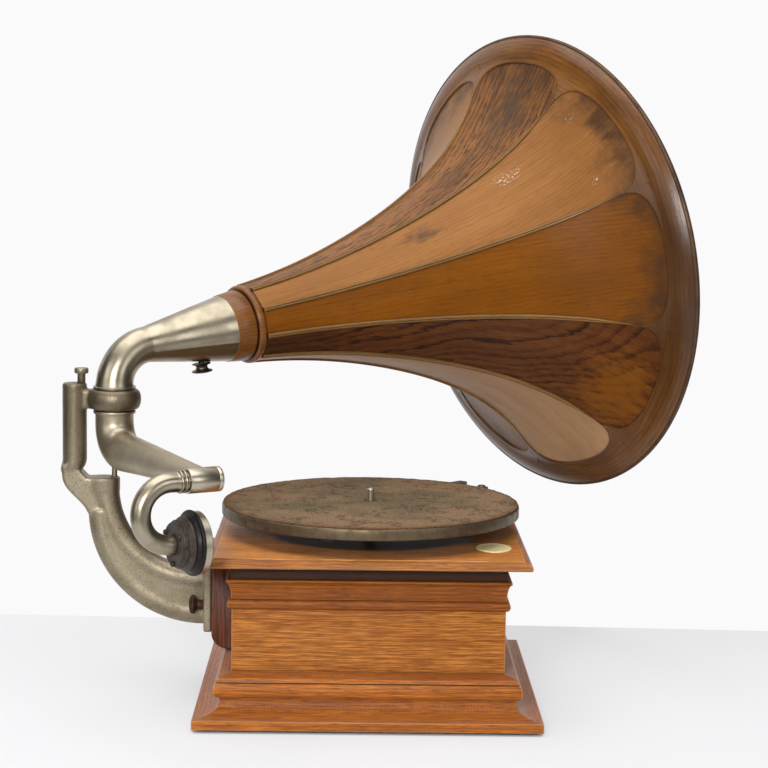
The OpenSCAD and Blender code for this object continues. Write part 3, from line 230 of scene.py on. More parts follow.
def slab(name, outline, holes, plane, low, high, along, material, replaced):
    """A board with round holes through it. Plane names the two axes that its outline is drawn on."""
    turns = [pi * i / 20 for i in range(40)]
    loops = [outline] + [[(x + r * cos(a), y + r * sin(a)) for a in turns] for x, y, r in holes]
    flat = [p for loop in loops for p in loop]
    depth = 3 - sum(plane)
    across = plane[0] if along == plane[1] else plane[1]
    verts = []
    for level in (low, high):
        for p in flat:
            v = Vector((0, 0, 0))
            v[plane[0]], v[plane[1]], v[depth] = p[0], p[1], level
            verts.append(v)
    count, start = len(flat), 0
    triangles = tessellate_polygon([[Vector((x, y, 0)) for x, y in loop] for loop in loops])
    faces = [tuple(t) for t in triangles] + [tuple(count + i for i in reversed(t)) for t in triangles]
    for loop in loops:
        around = [(start + i, start + (i + 1) % len(loop)) for i in range(len(loop))]
        faces += [(a, b, count + b, count + a) for a, b in around]
        start += len(loop)
    uvs = [[(verts[i][along], verts[i][across] + 0.35 * verts[i][depth]) for i in face] for face in faces]
    return piece(name, "case", replaced, verts, faces, material, uvs)


def wood(name, light, dark, pore, pith=320, depth=30, tilt=0.0, spacing=5.0, line=0.6, wander=5, stain=None,
         stain_amount=0.0, stain_size=70, rough=0.42, gloss=0.25, shift=0.0, wear=None, marks=(), flecks=(),
         streak=0.6, shake=0.4, porous=0.6, crevice_shade=None, reach=5, dust=0.0):
    """Varnished wood, its grain along U in millimetres. The growth rings are cut by the sheet as a saw cuts them:
    pith is how far to the side their centre lies, depth how far below, and tilt how that changes along the sheet.
    The fibres and pores are drawn about three times coarser than real ones, so that they show.
    A mark or fleck is its place on the grain, its length and height, its colour and its strength."""
    made, tree = new_material(name)
    uv = add(tree, "UVMap", uv_map="grain")
    place = add(tree, "SeparateXYZ", {"Vector": uv})
    moved = add(tree, "VectorMath", {0: uv, 1: (shift * 61.0, shift * 47.0, shift * 9.0)}, operation="ADD")
    # Fields of noise, each with grains so many millimetres long and wide.
    fields = {}
    for field, along, across, detail in (("bow", 170, 48, 2.0), ("tremble", 26, 3.4, 3.0), ("dive", 150, 260, 1.0),
                                         ("broad", 240, 26, 3.0), ("fibre", 34, 0.85, 2.0), ("pores", 14, 0.7, 1.0),
                                         ("cloud", 1.5 * stain_size, stain_size, 5.0), ("blotch", 22, 9, 5.0),
                                         ("grit", 2.6, 2.6, 2.0)):
        cell = add(tree, "Mapping", {"Vector": moved, "Scale": (1 / along, 1 / across, 1)})
        fields[field] = add(tree, "TexNoise", {"Vector": cell, "Scale": 1.0, "Detail": detail,
                                               "Roughness": 0.6})
    # Growth rings, each with a dark late edge of its own strength.
    swayed = add(tree, "Math", {0: fields["bow"], 1: 2.0 * wander, 2: place.outputs["Y"]},
                 operation="MULTIPLY_ADD")
    shaken = add(tree, "Math", {0: fields["tremble"], 1: shake * wander, 2: swayed},
                 operation="MULTIPLY_ADD")
    beside = add(tree, "Math", {0: shaken, 1: pith + 1.2 * wander}, operation="SUBTRACT")
    falling = add(tree, "Math", {0: place.outputs["X"], 1: tilt, 2: depth - 20.0}, operation="MULTIPLY_ADD")
    below = add(tree, "Math", {0: fields["dive"], 1: 40.0, 2: falling}, operation="MULTIPLY_ADD")
    cut = add(tree, "CombineXYZ", {"X": beside, "Y": below})
    radius = add(tree, "VectorMath", {0: cut}, operation="LENGTH")
    year = add(tree, "Math", {0: radius.outputs["Value"], 1: 1 / spacing}, operation="MULTIPLY")
    season = add(tree, "Math", {0: year}, operation="FRACT")
    which = add(tree, "Math", {0: year}, operation="FLOOR")
    luck = add(tree, "TexWhiteNoise", {"W": which}, noise_dimensions="1D")
    late = add(tree, "MapRange", {"Value": season, "From Min": 0.45, "From Max": 0.92},
               interpolation_type="SMOOTHSTEP")
    early = add(tree, "MapRange", {"Value": season, "From Min": 1.0, "From Max": 0.92},
                interpolation_type="SMOOTHSTEP")
    ring = add(tree, "Math", {0: late, 1: early}, operation="MULTIPLY")
    share = add(tree, "MapRange", {"Value": luck, "To Min": 0.35 * line, "To Max": line})
    ringed = add(tree, "Math", {0: ring, 1: share}, operation="MULTIPLY")
    # Fibres, broad bands and open pores.
    hair = add(tree, "MapRange", {"Value": fields["fibre"], "From Min": 0.38, "From Max": 0.64,
                                  "To Max": streak})
    wide = add(tree, "MapRange", {"Value": fields["broad"], "From Min": 0.34, "From Max": 0.68,
                                  "To Max": 0.4})
    half = add(tree, "Math", {0: ringed, 1: hair}, operation="ADD")
    grade = add(tree, "Math", {0: half, 1: wide}, operation="ADD", use_clamp=True)
    shade = add(tree, "Mix", {"Factor": grade, "A": colour(light), "B": colour(dark)}, data_type="RGBA")
    open_pore = add(tree, "MapRange", {"Value": fields["pores"], "From Min": 0.56, "From Max": 0.68,
                                       "To Max": porous})
    shade = add(tree, "Mix", {"Factor": open_pore, "A": shade, "B": colour(pore)}, data_type="RGBA")
    # Cloudy stain, then marks and flecks with ragged edges.
    if stain:
        blot = add(tree, "MapRange", {"Value": fields["cloud"], "From Min": 0.48, "From Max": 0.68,
                                      "To Max": stain_amount})
        shade = add(tree, "Mix", {"Factor": blot, "A": shade, "B": colour(stain)}, data_type="RGBA")
    for u, v, long, high, tint, amount in marks + flecks:
        near = add(tree, "Mapping", {"Vector": uv, "Location": (-u / long, -v / high, 0),
                                     "Scale": (1 / long, 1 / high, 1)})
        far = add(tree, "VectorMath", {0: near}, operation="LENGTH")
        ragged = add(tree, "Math", {0: fields["blotch"], 1: 3.0, 2: far.outputs["Value"]},
                     operation="MULTIPLY_ADD")
        spread = add(tree, "MapRange", {"Value": ragged, "From Min": 2.55, "From Max": 1.75,
                                        "To Max": amount})
        if (u, v, long, high, tint, amount) in flecks:
            grain = add(tree, "MapRange", {"Value": fields["grit"], "From Min": 0.57, "From Max": 0.61})
            spread = add(tree, "Math", {0: spread, 1: grain}, operation="MULTIPLY")
        shade = add(tree, "Mix", {"Factor": spread, "A": shade, "B": colour(tint)}, data_type="RGBA")
    # Varnish rubbed off the edges, and painted shade darkening the corners by how enclosed they are.
    if wear:
        soft_edge = add(tree, "Bevel", {"Radius": 1.6 * MM}, samples=4)
        plain = add(tree, "NewGeometry")
        facing = add(tree, "VectorMath", {0: soft_edge, 1: plain.outputs["Normal"]},
                     operation="DOT_PRODUCT")
        edge = add(tree, "MapRange", {"Value": facing.outputs["Value"], "From Min": 0.995, "From Max": 0.9,
                                      "To Max": 0.55})
        shade = add(tree, "Mix", {"Factor": edge, "A": shade, "B": colour(wear)}, data_type="RGBA")
    if crevice_shade:
        hidden = add(tree, "AmbientOcclusion", {"Distance": reach * MM}, samples=6)
        corner_shade = add(tree, "MapRange", {"Value": hidden.outputs["AO"], "From Min": 0.8, "From Max": 0.45,
                                       "To Max": 0.92})
        shade = add(tree, "Mix", {"Factor": corner_shade, "A": shade, "B": colour(crevice_shade)}, data_type="RGBA")
    # The polish varies in bands, and the pores are sunk.
    polish = add(tree, "MapRange", {"Value": fields["broad"], "To Min": rough + 0.08,
                                    "To Max": rough - 0.08})
    relief = add(tree, "Math", {0: fields["fibre"], 1: open_pore}, operation="SUBTRACT")
    bump = add(tree, "Bump", {"Strength": 0.3, "Distance": 0.25 * MM, "Height": relief})
    surface = add(tree, "BsdfPrincipled", {
        "Base Color": shade, "Roughness": polish, "Normal": bump, "Specular IOR Level": gloss,
        "Sheen Weight": dust, "Sheen Roughness": 0.4, "Sheen Tint": colour("#d8cfd2")})
    add(tree, "OutputMaterial", {"Surface": surface})
    return made


# Stained oak under thin shellac: a golden orange with dark level streaks and open pores.
wall_oak = wood("quarter_sawn_oak_shellac", "#c58136", "#824714", "#5c300e", spacing=4.5, line=0.55, wander=4,
                stain="#95571d", stain_amount=0.35, stain_size=60, wear="#d9a564", streak=1.0, porous=0.6,
                crevice_shade="#2a170b", gloss=0.2)
board("bottom_board_oak", (-board_half, -board_half, 0), (board_half, board_half, board_t), 0, wall_oak,
      ["bottom_board"])
wall_in = wall_half - wall_t
board("wall_left_oak", (-wall_half, -wall_half, board_t), (wall_half, -wall_in, wall_top), 0, wall_oak, ["wall_left"])
crank_low, crank_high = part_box("crank_escutcheon")
crank_room = 7.1
crank_hole = ((crank_low[0] + crank_high[0]) / 2 / MM, (crank_low[2] + crank_high[2]) / 2 / MM, crank_room)
right_outline = [(-wall_half, board_t), (wall_half, board_t), (wall_half, wall_top), (-wall_half, wall_top)]
slab("wall_right_oak", right_outline, [crank_hole], (0, 2), wall_in, wall_half, 0, wall_oak, ["wall_right"])
board("wall_front_oak", (wall_in, -wall_in, board_t), (wall_half, wall_in, wall_top), 1, wall_oak, ["wall_front"])
board("wall_back_oak", (-wall_half, -wall_in, board_t), (-wall_in, wall_in, wall_top), 1, wall_oak, ["wall_back"])


# Plinth, waist and cornice: solid oak mouldings, planed with hollow and round planes and mitred round the case.
# The plinth is a slab with a deep hollow, a round and a small quarter round under a sloping ledge.
def arc(cx, cy, rx, ry, start, end, steps=14):
    """Points along part of an ellipse, between two angles in degrees."""
    turns = [radians(start + (end - start) * i / steps) for i in range(steps + 1)]
    return [(cx + rx * cos(a), cy + ry * sin(a)) for a in turns]


def loft(rings, loop=False, caps=True, uv=None):
    """Skin over rings of points. Returns the vertices, the faces and each corner's place on the grain."""
    count = len(rings[0])
    verts = [p for ring in rings for p in ring]
    along, around = [0.0], []
    for i, ring in enumerate(rings):
        if i:
            along.append(along[-1] + (Vector(ring[0]) - Vector(rings[i - 1][0])).length)
        run = [0.0]
        for j in range(count):
            run.append(run[-1] + (Vector(ring[(j + 1) % count]) - Vector(ring[j])).length)
        around.append(run)
    along.append(along[-1] + (Vector(rings[0][0]) - Vector(rings[-1][0])).length)
    faces, uvs = [], []
    for i in range(len(rings) if loop else len(rings) - 1):
        after = (i + 1) % len(rings)
        for j in range(count):
            side = (j + 1) % count
            faces.append((i * count + j, i * count + side, after * count + side, after * count + j))
            if uv:
                uvs.append((uv[i][j], uv[i][side], uv[after][side], uv[after][j]))
            else:
                uvs.append(((along[i], around[i][j]), (along[i], around[i][j + 1]),
                            (along[i + 1], around[after][j + 1]), (along[i + 1], around[after][j])))
    if caps and not loop:
        for i in (0, len(rings) - 1):
            spots = uv[i] if uv else [(along[i], around[i][j]) for j in range(count)]
            faces.append(tuple(range(i * count, (i + 1) * count)))
            uvs.append(tuple(spots))
    return verts, faces, uvs


def mitred(name, outline, material, replaced, rooms=()):
    """Four lengths of one moulding, mitred at the corners. A room is a (side, from, to) cut out of a length."""
    mitre_gap = 0.12
    verts, faces, uvs = [], [], []
    for side in range(4):
        out = Vector((cos(side * pi / 2), sin(side * pi / 2), 0))
        run = Vector((-out.y, out.x, 0))
        cuts = [(a, b) for s, a, b in rooms if s == side]
        spans = [(None, cuts[0][0]), (cuts[0][1], None)] if cuts else [(None, None)]
        for first, last in spans:
            ends = []
            for stop, sign in ((first, -1), (last, 1)):
                ends.append([out * x + run * (sign * (x - mitre_gap) if stop is None else stop)
                             + Vector((0, 0, z)) for x, z in outline])
            v, f, _ = loft(ends)
            base = len(verts)
            edge = [0.0]
            for a, b in zip(outline, outline[1:] + outline[:1]):
                edge.append(edge[-1] + hypot(b[0] - a[0], b[1] - a[1]))
            for face in f:
                spots = []
                for index in face:
                    j = index % len(outline)
                    spots.append((Vector(v[index]).dot(run) + 400 * side, edge[j] - 90 * side))
                if len(face) == 4 and max(s[1] for s in spots) - min(s[1] for s in spots) > edge[-1] / 2:
                    spots = [(s[0], s[1] if s[1] > edge[-1] / 2 - 90 * side else s[1] + edge[-1]) for s in spots]
                uvs.append(spots)
            verts += v
            faces += [tuple(base + i for i in face) for face in f]
    return piece(name, "case", replaced, verts, faces, material, uvs, sharp=32)


plinth_half, plinth_lift, slab_top = 169.2, 3, 12.3
hollow_top = slab_top + 13
neck_top = hollow_top + 4
round_high, round_out = 14.5, 5.5
round_top = neck_top + round_high
quarter_top = round_top + 5
ledge_top = quarter_top + 3.2
neck_x = plinth_half - 25
round_line = [(neck_x + round_out * max(cos(a), 0) ** 0.5, neck_top + round_high * (1 + sin(a)) / 2)
              for a in [pi * i / 20 - pi / 2 for i in range(21)]]
plinth_line = ([(board_half, plinth_lift), (plinth_half - 0.6, plinth_lift), (plinth_half, plinth_lift + 0.6),
                (plinth_half, slab_top - 0.6), (plinth_half - 0.6, slab_top)]
               + arc(plinth_half - 1, hollow_top, 24, 13, 270, 180) + round_line
               + arc(neck_x, round_top, 2.5, 5, 10, 90, 8) + [(wall_half, ledge_top), (wall_half, board_t),
                                                              (board_half, board_t)])


def lay_dirt_and_shade(material, share, tint):
    """Lays dirt, figure or painted shade over a finished material's colour. Share takes its tree and returns how
    thickly it lies.
    """
    tree = material.node_tree
    varnish = next(n for n in tree.nodes if n.type == "BSDF_PRINCIPLED")
    clean = varnish.inputs["Base Color"].links[0].from_socket
    overlaid = add(tree, "Mix", {"Factor": share(tree), "A": clean, "B": colour(tint)}, data_type="RGBA")
    tree.links.new(next(o for o in overlaid.outputs if o.enabled), varnish.inputs["Base Color"])


def height(tree):
    """How high a point of a piece at rest lies above the floor, in metres."""
    spot = add(tree, "TexCoord")
    return add(tree, "SeparateXYZ", {"Vector": spot.outputs["Object"]}).outputs["Z"]


def ray_flecks(tree):
    """The hollow cuts across the oak's rays, which show as a row of short upright dashes."""
    ray_wide, ray_high = 1.6, 5
    level = height(tree)
    low = add(tree, "MapRange", {"Value": level, "From Min": (slab_top + 3) * MM,
                                 "From Max": (slab_top + 6) * MM})
    high = add(tree, "MapRange", {"Value": level, "From Min": (hollow_top - 0.3) * MM,
                                  "From Max": (hollow_top - 1.5) * MM, "To Max": 0.42})
    grain = add(tree, "UVMap", uv_map="grain")
    cell = add(tree, "Mapping", {"Vector": grain, "Scale": (1 / ray_wide, 1 / ray_high, 1)})
    dash = add(tree, "TexNoise", {"Vector": cell, "Scale": 1.0, "Detail": 1.0})
    shown = add(tree, "MapRange", {"Value": dash, "From Min": 0.5, "From Max": 0.6})
    inside = add(tree, "Math", {0: low, 1: high}, operation="MULTIPLY")
    return add(tree, "Math", {0: inside, 1: shown}, operation="MULTIPLY")


# Oak planed to a moulding, stained and shellacked: redder than the walls, bright on its rubbed edges, with painted
# shade in its corners and a little dusty where it slopes.
plinth_oak = wood("stained_oak_moulding_shellac", "#c07223", "#824416", "#51270b", spacing=4.5, line=0.55, wander=4,
                  stain="#75400f", stain_amount=0.4, stain_size=45, wear="#d49a5c", shift=3.0, streak=0.8,
                  porous=0.75, crevice_shade="#24140a", gloss=0.2, dust=0.25)
lay_dirt_and_shade(plinth_oak, ray_flecks, "#6a390c")
mitred("plinth_lengths", plinth_line, plinth_oak, ["plinth_moulding"])

block_room = (-46.2, 46.2)
cornice_z = wall_top - 34
lip_z = cornice_z + 17
waist_z = cornice_z - 10
waist_line = [(wall_half, waist_z)] + arc(wall_half, waist_z + 5, 4.2, 5, -90, 90, 12)


def under_deck_shadow(tree):
    """Painted shadow: above the cornice's lip, up to the deck, the moulding is darkened for the shade under the
    deck's overhang.
    """
    return add(tree, "MapRange", {"Value": height(tree), "From Min": (lip_z + 2.2) * MM,
                                  "From Max": (lip_z + 3.5) * MM, "To Max": 0.88})


# The same oak and finish, painted darker and browner than the plinth: painted shade for the upper mouldings under the
# deck's overhang.
shaded_moulding_oak = wood("oak_moulding_shellac_painted_shade", "#9c5818", "#68340c", "#401f08", spacing=4.5, line=0.5,
                   wander=4, stain="#5c300c", stain_amount=0.4, stain_size=40, wear="#bd7c3c", shift=4.0,
                   streak=0.7, crevice_shade="#100804", reach=12, gloss=0.2)
# Painted shadow in the quirk under the deck's overhang.
lay_dirt_and_shade(shaded_moulding_oak, under_deck_shadow, "#1a0d05")
mitred("waist_lengths", waist_line, shaded_moulding_oak, ["waist_moulding"], rooms=[(2, *block_room)])
cornice_line = ([(wall_half, cornice_z)] + arc(wall_half + 5.5, cornice_z, 4.9, 17, 180, 90)
                + [(wall_half + 5.2, lip_z), (wall_half + 5.5, lip_z + 0.5), (wall_half + 5.5, lip_z + 1.6),
                   (wall_half + 5.0, lip_z + 2.2), (wall_half + 1.2, lip_z + 3.4), (wall_half + 0.8, wall_top),
                   (wall_half, wall_top)])
mitred("cornice_lengths", cornice_line, shaded_moulding_oak, ["cornice_moulding"], rooms=[(2, *block_room)])

# Deck: a flat oak panel with a moulded oak edge glued round it, its nose rounded and a fine step inside.
# The edge is greyed by handling, and its inner step is rubbed bright.
deck_half, deck_top, deck_in = 157, 167, 149.5
deck_line = [(deck_in, wall_top), (deck_half - 1.5, wall_top), (deck_half, wall_top + 1.5)]
deck_line += arc(deck_in, wall_top + 2.5, 7.5, 5.5, 0, 90) + [(deck_in, wall_top + 8)]
# Oak greyed by handling: duller than the rest, with its inner step and nose rubbed to bare pale wood.
edge_oak = wood("greyed_oak_edge_shellac", "#b9752f", "#7c4519", "#4a240f", spacing=4, line=0.5, wander=3,
                streak=0.8, stain="#6a4328", stain_amount=0.45, stain_size=40, wear="#e2b984", shift=5.0,
                crevice_shade="#1c1008", gloss=0.2, dust=0.2)
mitred("deck_edge_lengths", deck_line, edge_oak, ["deck_board"])
spindle_x, spindle_room = 1.5, 6.5
shadow_out, shadow_in, shadow_ragged, shadow_blot = 117, 106, 12, 25


def platter_shadow(tree):
    """Painted shadow: the wood round the spindle, under the platter, is blackened with a ragged round edge, for the
    platter's shadow.
    """
    spot = add(tree, "TexCoord")
    far = add(tree, "VectorMath", {0: spot.outputs["Object"], 1: (spindle_x * MM, 0, deck_top * MM)},
              operation="DISTANCE")
    blur = add(tree, "TexNoise", {"Vector": spot.outputs["Object"], "Scale": 1 / (shadow_blot * MM), "Detail": 3.0})
    edge = add(tree, "Math", {0: blur, 1: shadow_ragged * MM, 2: far.outputs["Value"]}, operation="MULTIPLY_ADD")
    return add(tree, "MapRange", {"Value": edge, "From Min": shadow_out * MM, "From Max": shadow_in * MM,
                                  "To Max": 0.93})


# Flat-sawn oak: broad wavy figure, paler than the walls because the light falls square on it.
deck_oak = wood("flat_sawn_oak_shellac", "#eaa054", "#a05a22", "#5c3012", pith=240, depth=60, spacing=6, wander=7,
                streak=0.8, porous=0.75, stain="#7d4a22", stain_amount=0.4, stain_size=60, shift=8.0,
                wear="#d6ac78", gloss=0.2)
# Painted shadow on the deck under the platter.
lay_dirt_and_shade(deck_oak, platter_shadow, "#120b07")
# The panel is bored for the spindle and for the heads of the motor's four bolts.
bolt_room = 6.6
bolt_heads = [(x, y, bolt_room) for x in (-42, 102) for y in (-54, 58)]
slab("deck_panel", [(-deck_in, -deck_in), (deck_in, -deck_in), (deck_in, deck_in), (-deck_in, deck_in)],
     [(spindle_x, 0, spindle_room)] + bolt_heads, (0, 1), wall_top + 1, deck_top, 0, deck_oak, [])


# Badge: a small oval brass pressing, pinned flat on the deck near its front corner and lacquered.
# Its face is bare, with a plain raised border.
def lathe(profile, place, steps=72, squash=(1, 1)):
    """A turned piece: (radius, height) points swept about the Z axis of a place."""
    rings, spots, run = [], [], [0.0]
    for p, q in zip(profile, profile[1:]):
        run.append(run[-1] + hypot(q[0] - p[0], q[1] - p[1]))
    wide = max(r for r, z in profile)
    for i in range(steps + 1):
        a = 2 * pi * i / steps
        rings.append([place @ Vector((r * cos(a) * squash[0], r * sin(a) * squash[1], z)) for r, z in profile])
        spots.append([(along, wide * a) for along in run])
    return loft(rings, caps=False, uv=spots)


def millimetres(tree):
    """A point's place on the object, in millimetres."""
    spot = add(tree, "TexCoord")
    return add(tree, "Mapping", {"Vector": spot.outputs["Object"], "Scale": (1 / MM, 1 / MM, 1 / MM)})


def metal(name, base, stain, rough, stain_amount=0.5, stain_size=22, metallic=1.0, pit=0.0, pit_size=1.6,
          pit_colour="#3b2f22", spread=0.1, coat=0.0, corner_shade=0.0):
    """Worn plated or bare metal: cloudy tarnish, a rubbed grain and, on castings, pits, with sizes in millimetres.
    The rubbed grain is drawn about ten times coarser than real scratches, so that it shows."""
    rubs_per_mm, corner_shade_reach = 0.9, 4
    made, tree = new_material(name)
    in_mm = millimetres(tree)
    cloud = add(tree, "TexNoise", {"Vector": in_mm, "Scale": 1 / stain_size, "Detail": 6.0, "Roughness": 0.62})
    tarnish = add(tree, "MapRange", {"Value": cloud, "From Min": 0.42, "From Max": 0.68,
                                     "To Max": stain_amount})
    shade = add(tree, "Mix", {"Factor": tarnish, "A": colour(base), "B": colour(stain)}, data_type="RGBA")
    rub = add(tree, "TexNoise", {"Vector": in_mm, "Scale": rubs_per_mm, "Detail": 3.0})
    dull = add(tree, "Math", {0: tarnish, 1: 0.25, 2: rough}, operation="MULTIPLY_ADD")
    gloss = add(tree, "Math", {0: rub, 1: spread, 2: dull}, operation="MULTIPLY_ADD")
    bump = add(tree, "Bump", {"Strength": 0.03, "Distance": 0.1 * MM, "Height": rub})
    if pit:
        speck = add(tree, "TexNoise", {"Vector": in_mm, "Scale": 1 / pit_size, "Detail": 4.0,
                                       "Roughness": 0.7})
        hole = add(tree, "MapRange", {"Value": speck, "From Min": 0.55, "From Max": 0.66, "To Max": pit})
        shade = add(tree, "Mix", {"Factor": hole, "A": shade, "B": colour(pit_colour)}, data_type="RGBA")
        gloss = add(tree, "Math", {0: hole, 1: 0.3, 2: gloss}, operation="MULTIPLY_ADD")
        bump = add(tree, "Bump", {"Strength": 0.5, "Distance": 0.35 * MM, "Height": speck})
    # Painted shade: corners are darkened by how enclosed they are.
    if corner_shade:
        hidden = add(tree, "AmbientOcclusion", {"Distance": corner_shade_reach * MM}, samples=6)
        shaded_corner = add(tree, "MapRange", {"Value": hidden.outputs["AO"], "From Min": 0.75, "From Max": 0.35,
                                       "To Max": corner_shade})
        shade = add(tree, "Mix", {"Factor": shaded_corner, "A": shade, "B": colour("#1d150e")}, data_type="RGBA")
    surface = add(tree, "BsdfPrincipled", {
        "Base Color": shade, "Metallic": metallic, "Roughness": gloss, "Normal": bump, "Coat Weight": coat,
        "Coat Roughness": 0.2})
    add(tree, "OutputMaterial", {"Surface": surface})
    return made


def middle_of(node):
    """The middle of a CAD node, in millimetres."""
    low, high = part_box(node)
    return (Vector(low) + Vector(high)) / 2 / MM


# Thin brass, pressed and lacquered: a pale straw yellow, satin rather than bright, clouded under the lacquer.
badge_half = (17.5, 22.5)
badge_brass = metal("pressed_brass_lacquered", "#f6e4aa", "#ccb470", 0.42, stain_amount=0.5, stain_size=6,
                    metallic=0.25)
badge_at = middle_of("badge_plate")
pressed = [(0, 0.5), (0.55, 0.55), (0.8, 0.6), (0.84, 0.95), (0.93, 1.0), (0.98, 0.8), (1, 0.4), (1, 0), (0, 0)]
v, f, u = lathe(pressed, Matrix.Translation((badge_at.x, badge_at.y, deck_top + 0.05)), squash=badge_half)
piece("badge_oval", "case", ["badge_plate"], v, f, badge_brass)

# Bracket block: a thick mahogany pad between the case wall and the casting, its foot rounded over the plinth.
# The grain stands upright, and the varnish is dark with handling.
block_x, block_half, block_foot, block_arris = -158.6, 46, 52, 0.8
foot_round = arc(block_x + 18, block_foot + 16, 18, 16, 180, 270)
block_line = [(-wall_half, wall_top), (block_x + block_arris, wall_top), (block_x, wall_top - block_arris)]
block_line += foot_round + [(-wall_half, block_foot)]
block_mid = (-146, 105)
rings, spots = [], []
for y, shrink in ((-block_half, block_arris), (-block_half + block_arris, 0), (block_half - block_arris, 0),
                  (block_half, block_arris)):
    line = [(x + shrink * (1 if x < block_mid[0] else 0), z - shrink * (1 if z > block_mid[1] else -1))
            for x, z in block_line]
    rings.append([(x, y, z) for x, z in line])
    spots.append([(z, y + 0.6 * x) for x, z in line])
# Mahogany under dark varnish: a deep red brown with upright streaks, almost black with painted shade in the corners.
mahogany = wood("stained_mahogany_varnish", "#6e3a24", "#442011", "#28110a", spacing=5, wander=4, stain="#331710",
                stain_amount=0.5, stain_size=40, rough=0.38, wear="#8a5233", shift=11.0, crevice_shade="#140a06",
                reach=8, gloss=0.2)
v, f, u = loft(rings, uv=spots)
piece("bracket_pad", "case", ["bracket_block"], v, f, mahogany, u)

# Horn bracket: one iron casting with plate, swept arm, post and ring, ground over and nickel plated.
# The plating is pitted and yellowed. The as-cast edges are soft, so the CAD solid is re-skinned and smoothed.
casting = bpy.data.objects.new("casting_blank", nodes["horn_bracket"].data.copy())
scene.collection.objects.link(casting)
skin = casting.modifiers.new("skin", "REMESH")
skin.mode, skin.voxel_size = "VOXEL", 1.3 * MM
soft = casting.modifiers.new("soft", "SMOOTH")
soft.factor, soft.iterations = 0.5, 8
solid = casting.evaluated_get(bpy.context.evaluated_depsgraph_get()).to_mesh()
skin_verts = [v.co / MM for v in solid.vertices]
skin_faces = [tuple(p.vertices) for p in solid.polygons]
bpy.data.objects.remove(casting)
# The shoulder between arm and post swells outwards on its far side from the case.
shoulder_low, shoulder_high, shoulder_swell = 187, 239, 8.5
shoulder_x, shoulder_fade = -262, 20
for p in skin_verts:
    if shoulder_low < p.z < shoulder_high and p.x < shoulder_x:
        reach = min(1, (shoulder_x - p.x) / shoulder_fade)
        p.x -= shoulder_swell * reach * sin(pi * (p.z - shoulder_low) / (shoulder_high - shoulder_low)) ** 2
darker_from, darker_to = 215, 275


def above_arm(tree):
    """The plating is made darker and browner from above the arm upwards, over the post and ring."""
    return add(tree, "MapRange", {"Value": height(tree), "From Min": darker_from * MM,
                                  "From Max": darker_to * MM, "To Max": 0.5})


# Nickel worn thin over cast iron: a warm grey, half dull, with dark rust pits and painted shade in every corner.
cast_nickel = metal("cast_iron_worn_nickel_plate", "#998e78", "#776c56", 0.34, stain_amount=0.5, stain_size=24,
                    metallic=0.95, pit=0.85, pit_size=1.3, pit_colour="#3f3427", spread=0.16, corner_shade=0.9)
lay_dirt_and_shade(cast_nickel, above_arm, "#564938")
piece("bracket_casting", "case", ["horn_bracket"], skin_verts, skin_faces, cast_nickel, sharp=180)

# Bracket bolts: two turned steel bolts with round heads that clamp the casting and its pad to the case wall.
# The nickel has gone and brown rust has taken its place. Their shanks stop inside the wall.
def joined(meshes):
    """Several meshes of one piece, as one."""
    verts, faces, uvs = [], [], []
    for v, f, u in meshes:
        faces += [tuple(len(verts) + i for i in face) for face in f]
        verts += v
        uvs += u
    return verts, faces, uvs


# Rusted steel: dark brown and dull, freckled with fresh orange rust.
rusty = metal("turned_steel_rusted", "#4a3426", "#2a1a12", 0.5, stain_amount=0.9, stain_size=5, metallic=0.75,
              pit=0.5, pit_size=1.2, pit_colour="#6b3b1e")
bolt_x, bolt_z, bolt_aside = -167.2, 93.6, 27
head = [(0, -15.5), (5, -15.3), (8.2, -14.4), (9.5, -13), (9.7, -11.2), (9.7, -10.2), (9.2, -9.6), (7.4, -9.3),
        (6, -7.6), (5, -6.5), (5, 3), (5, 39), (0, 39)]
bolt_places = [Matrix.Translation((bolt_x, y, bolt_z)) @ Matrix.Rotation(pi / 2, 4, "Y")
               for y in (-bolt_aside, bolt_aside)]
v, f, u = joined([lathe(head, place, 48) for place in bolt_places])
piece("bracket_bolt_pair", "case", ["bracket_bolts"], v, f, rusty)

# Bracket screw: a turned steel thumb screw with a cheese head that stands in the top of the post.
# It pinches the horn's spigot. Its plating is worn to a dull grey.
# Steel with its nickel rubbed through: a soft grey sheen with brown showing in patches.
worn_steel = metal("turned_steel_worn_nickel", "#98907c", "#5d5343", 0.36, stain_amount=0.75, stain_size=7)
screw_at = middle_of("bracket_thumb_screw")
screw_low, screw_high = (corner[2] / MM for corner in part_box("bracket_thumb_screw"))
neck = screw_high - 5.5
cheese = [(0, screw_high - 0.3), (4, screw_high), (6.4, screw_high - 0.1), (7.1, screw_high - 0.8),
          (7.25, screw_high - 2), (7.25, neck + 1), (6.7, neck), (4.6, neck - 0.2), (4.1, neck - 1.2),
          (4.1, screw_low + 1), (3.4, screw_low), (0, screw_low)]
v, f, u = lathe(cheese, Matrix.Translation((screw_at.x, screw_at.y, 0)), 48)
piece("bracket_screw_turned", "bracket_screw", ["bracket_thumb_screw"], v, f, worn_steel)


def paint(material, *names):
    """A CAD node whose shape is right stays, and takes a material."""
    for name in names:
        nodes[name].data.materials.clear()
        nodes[name].data.materials.append(material)


paint(worn_steel, "tonearm_pivot_pin")

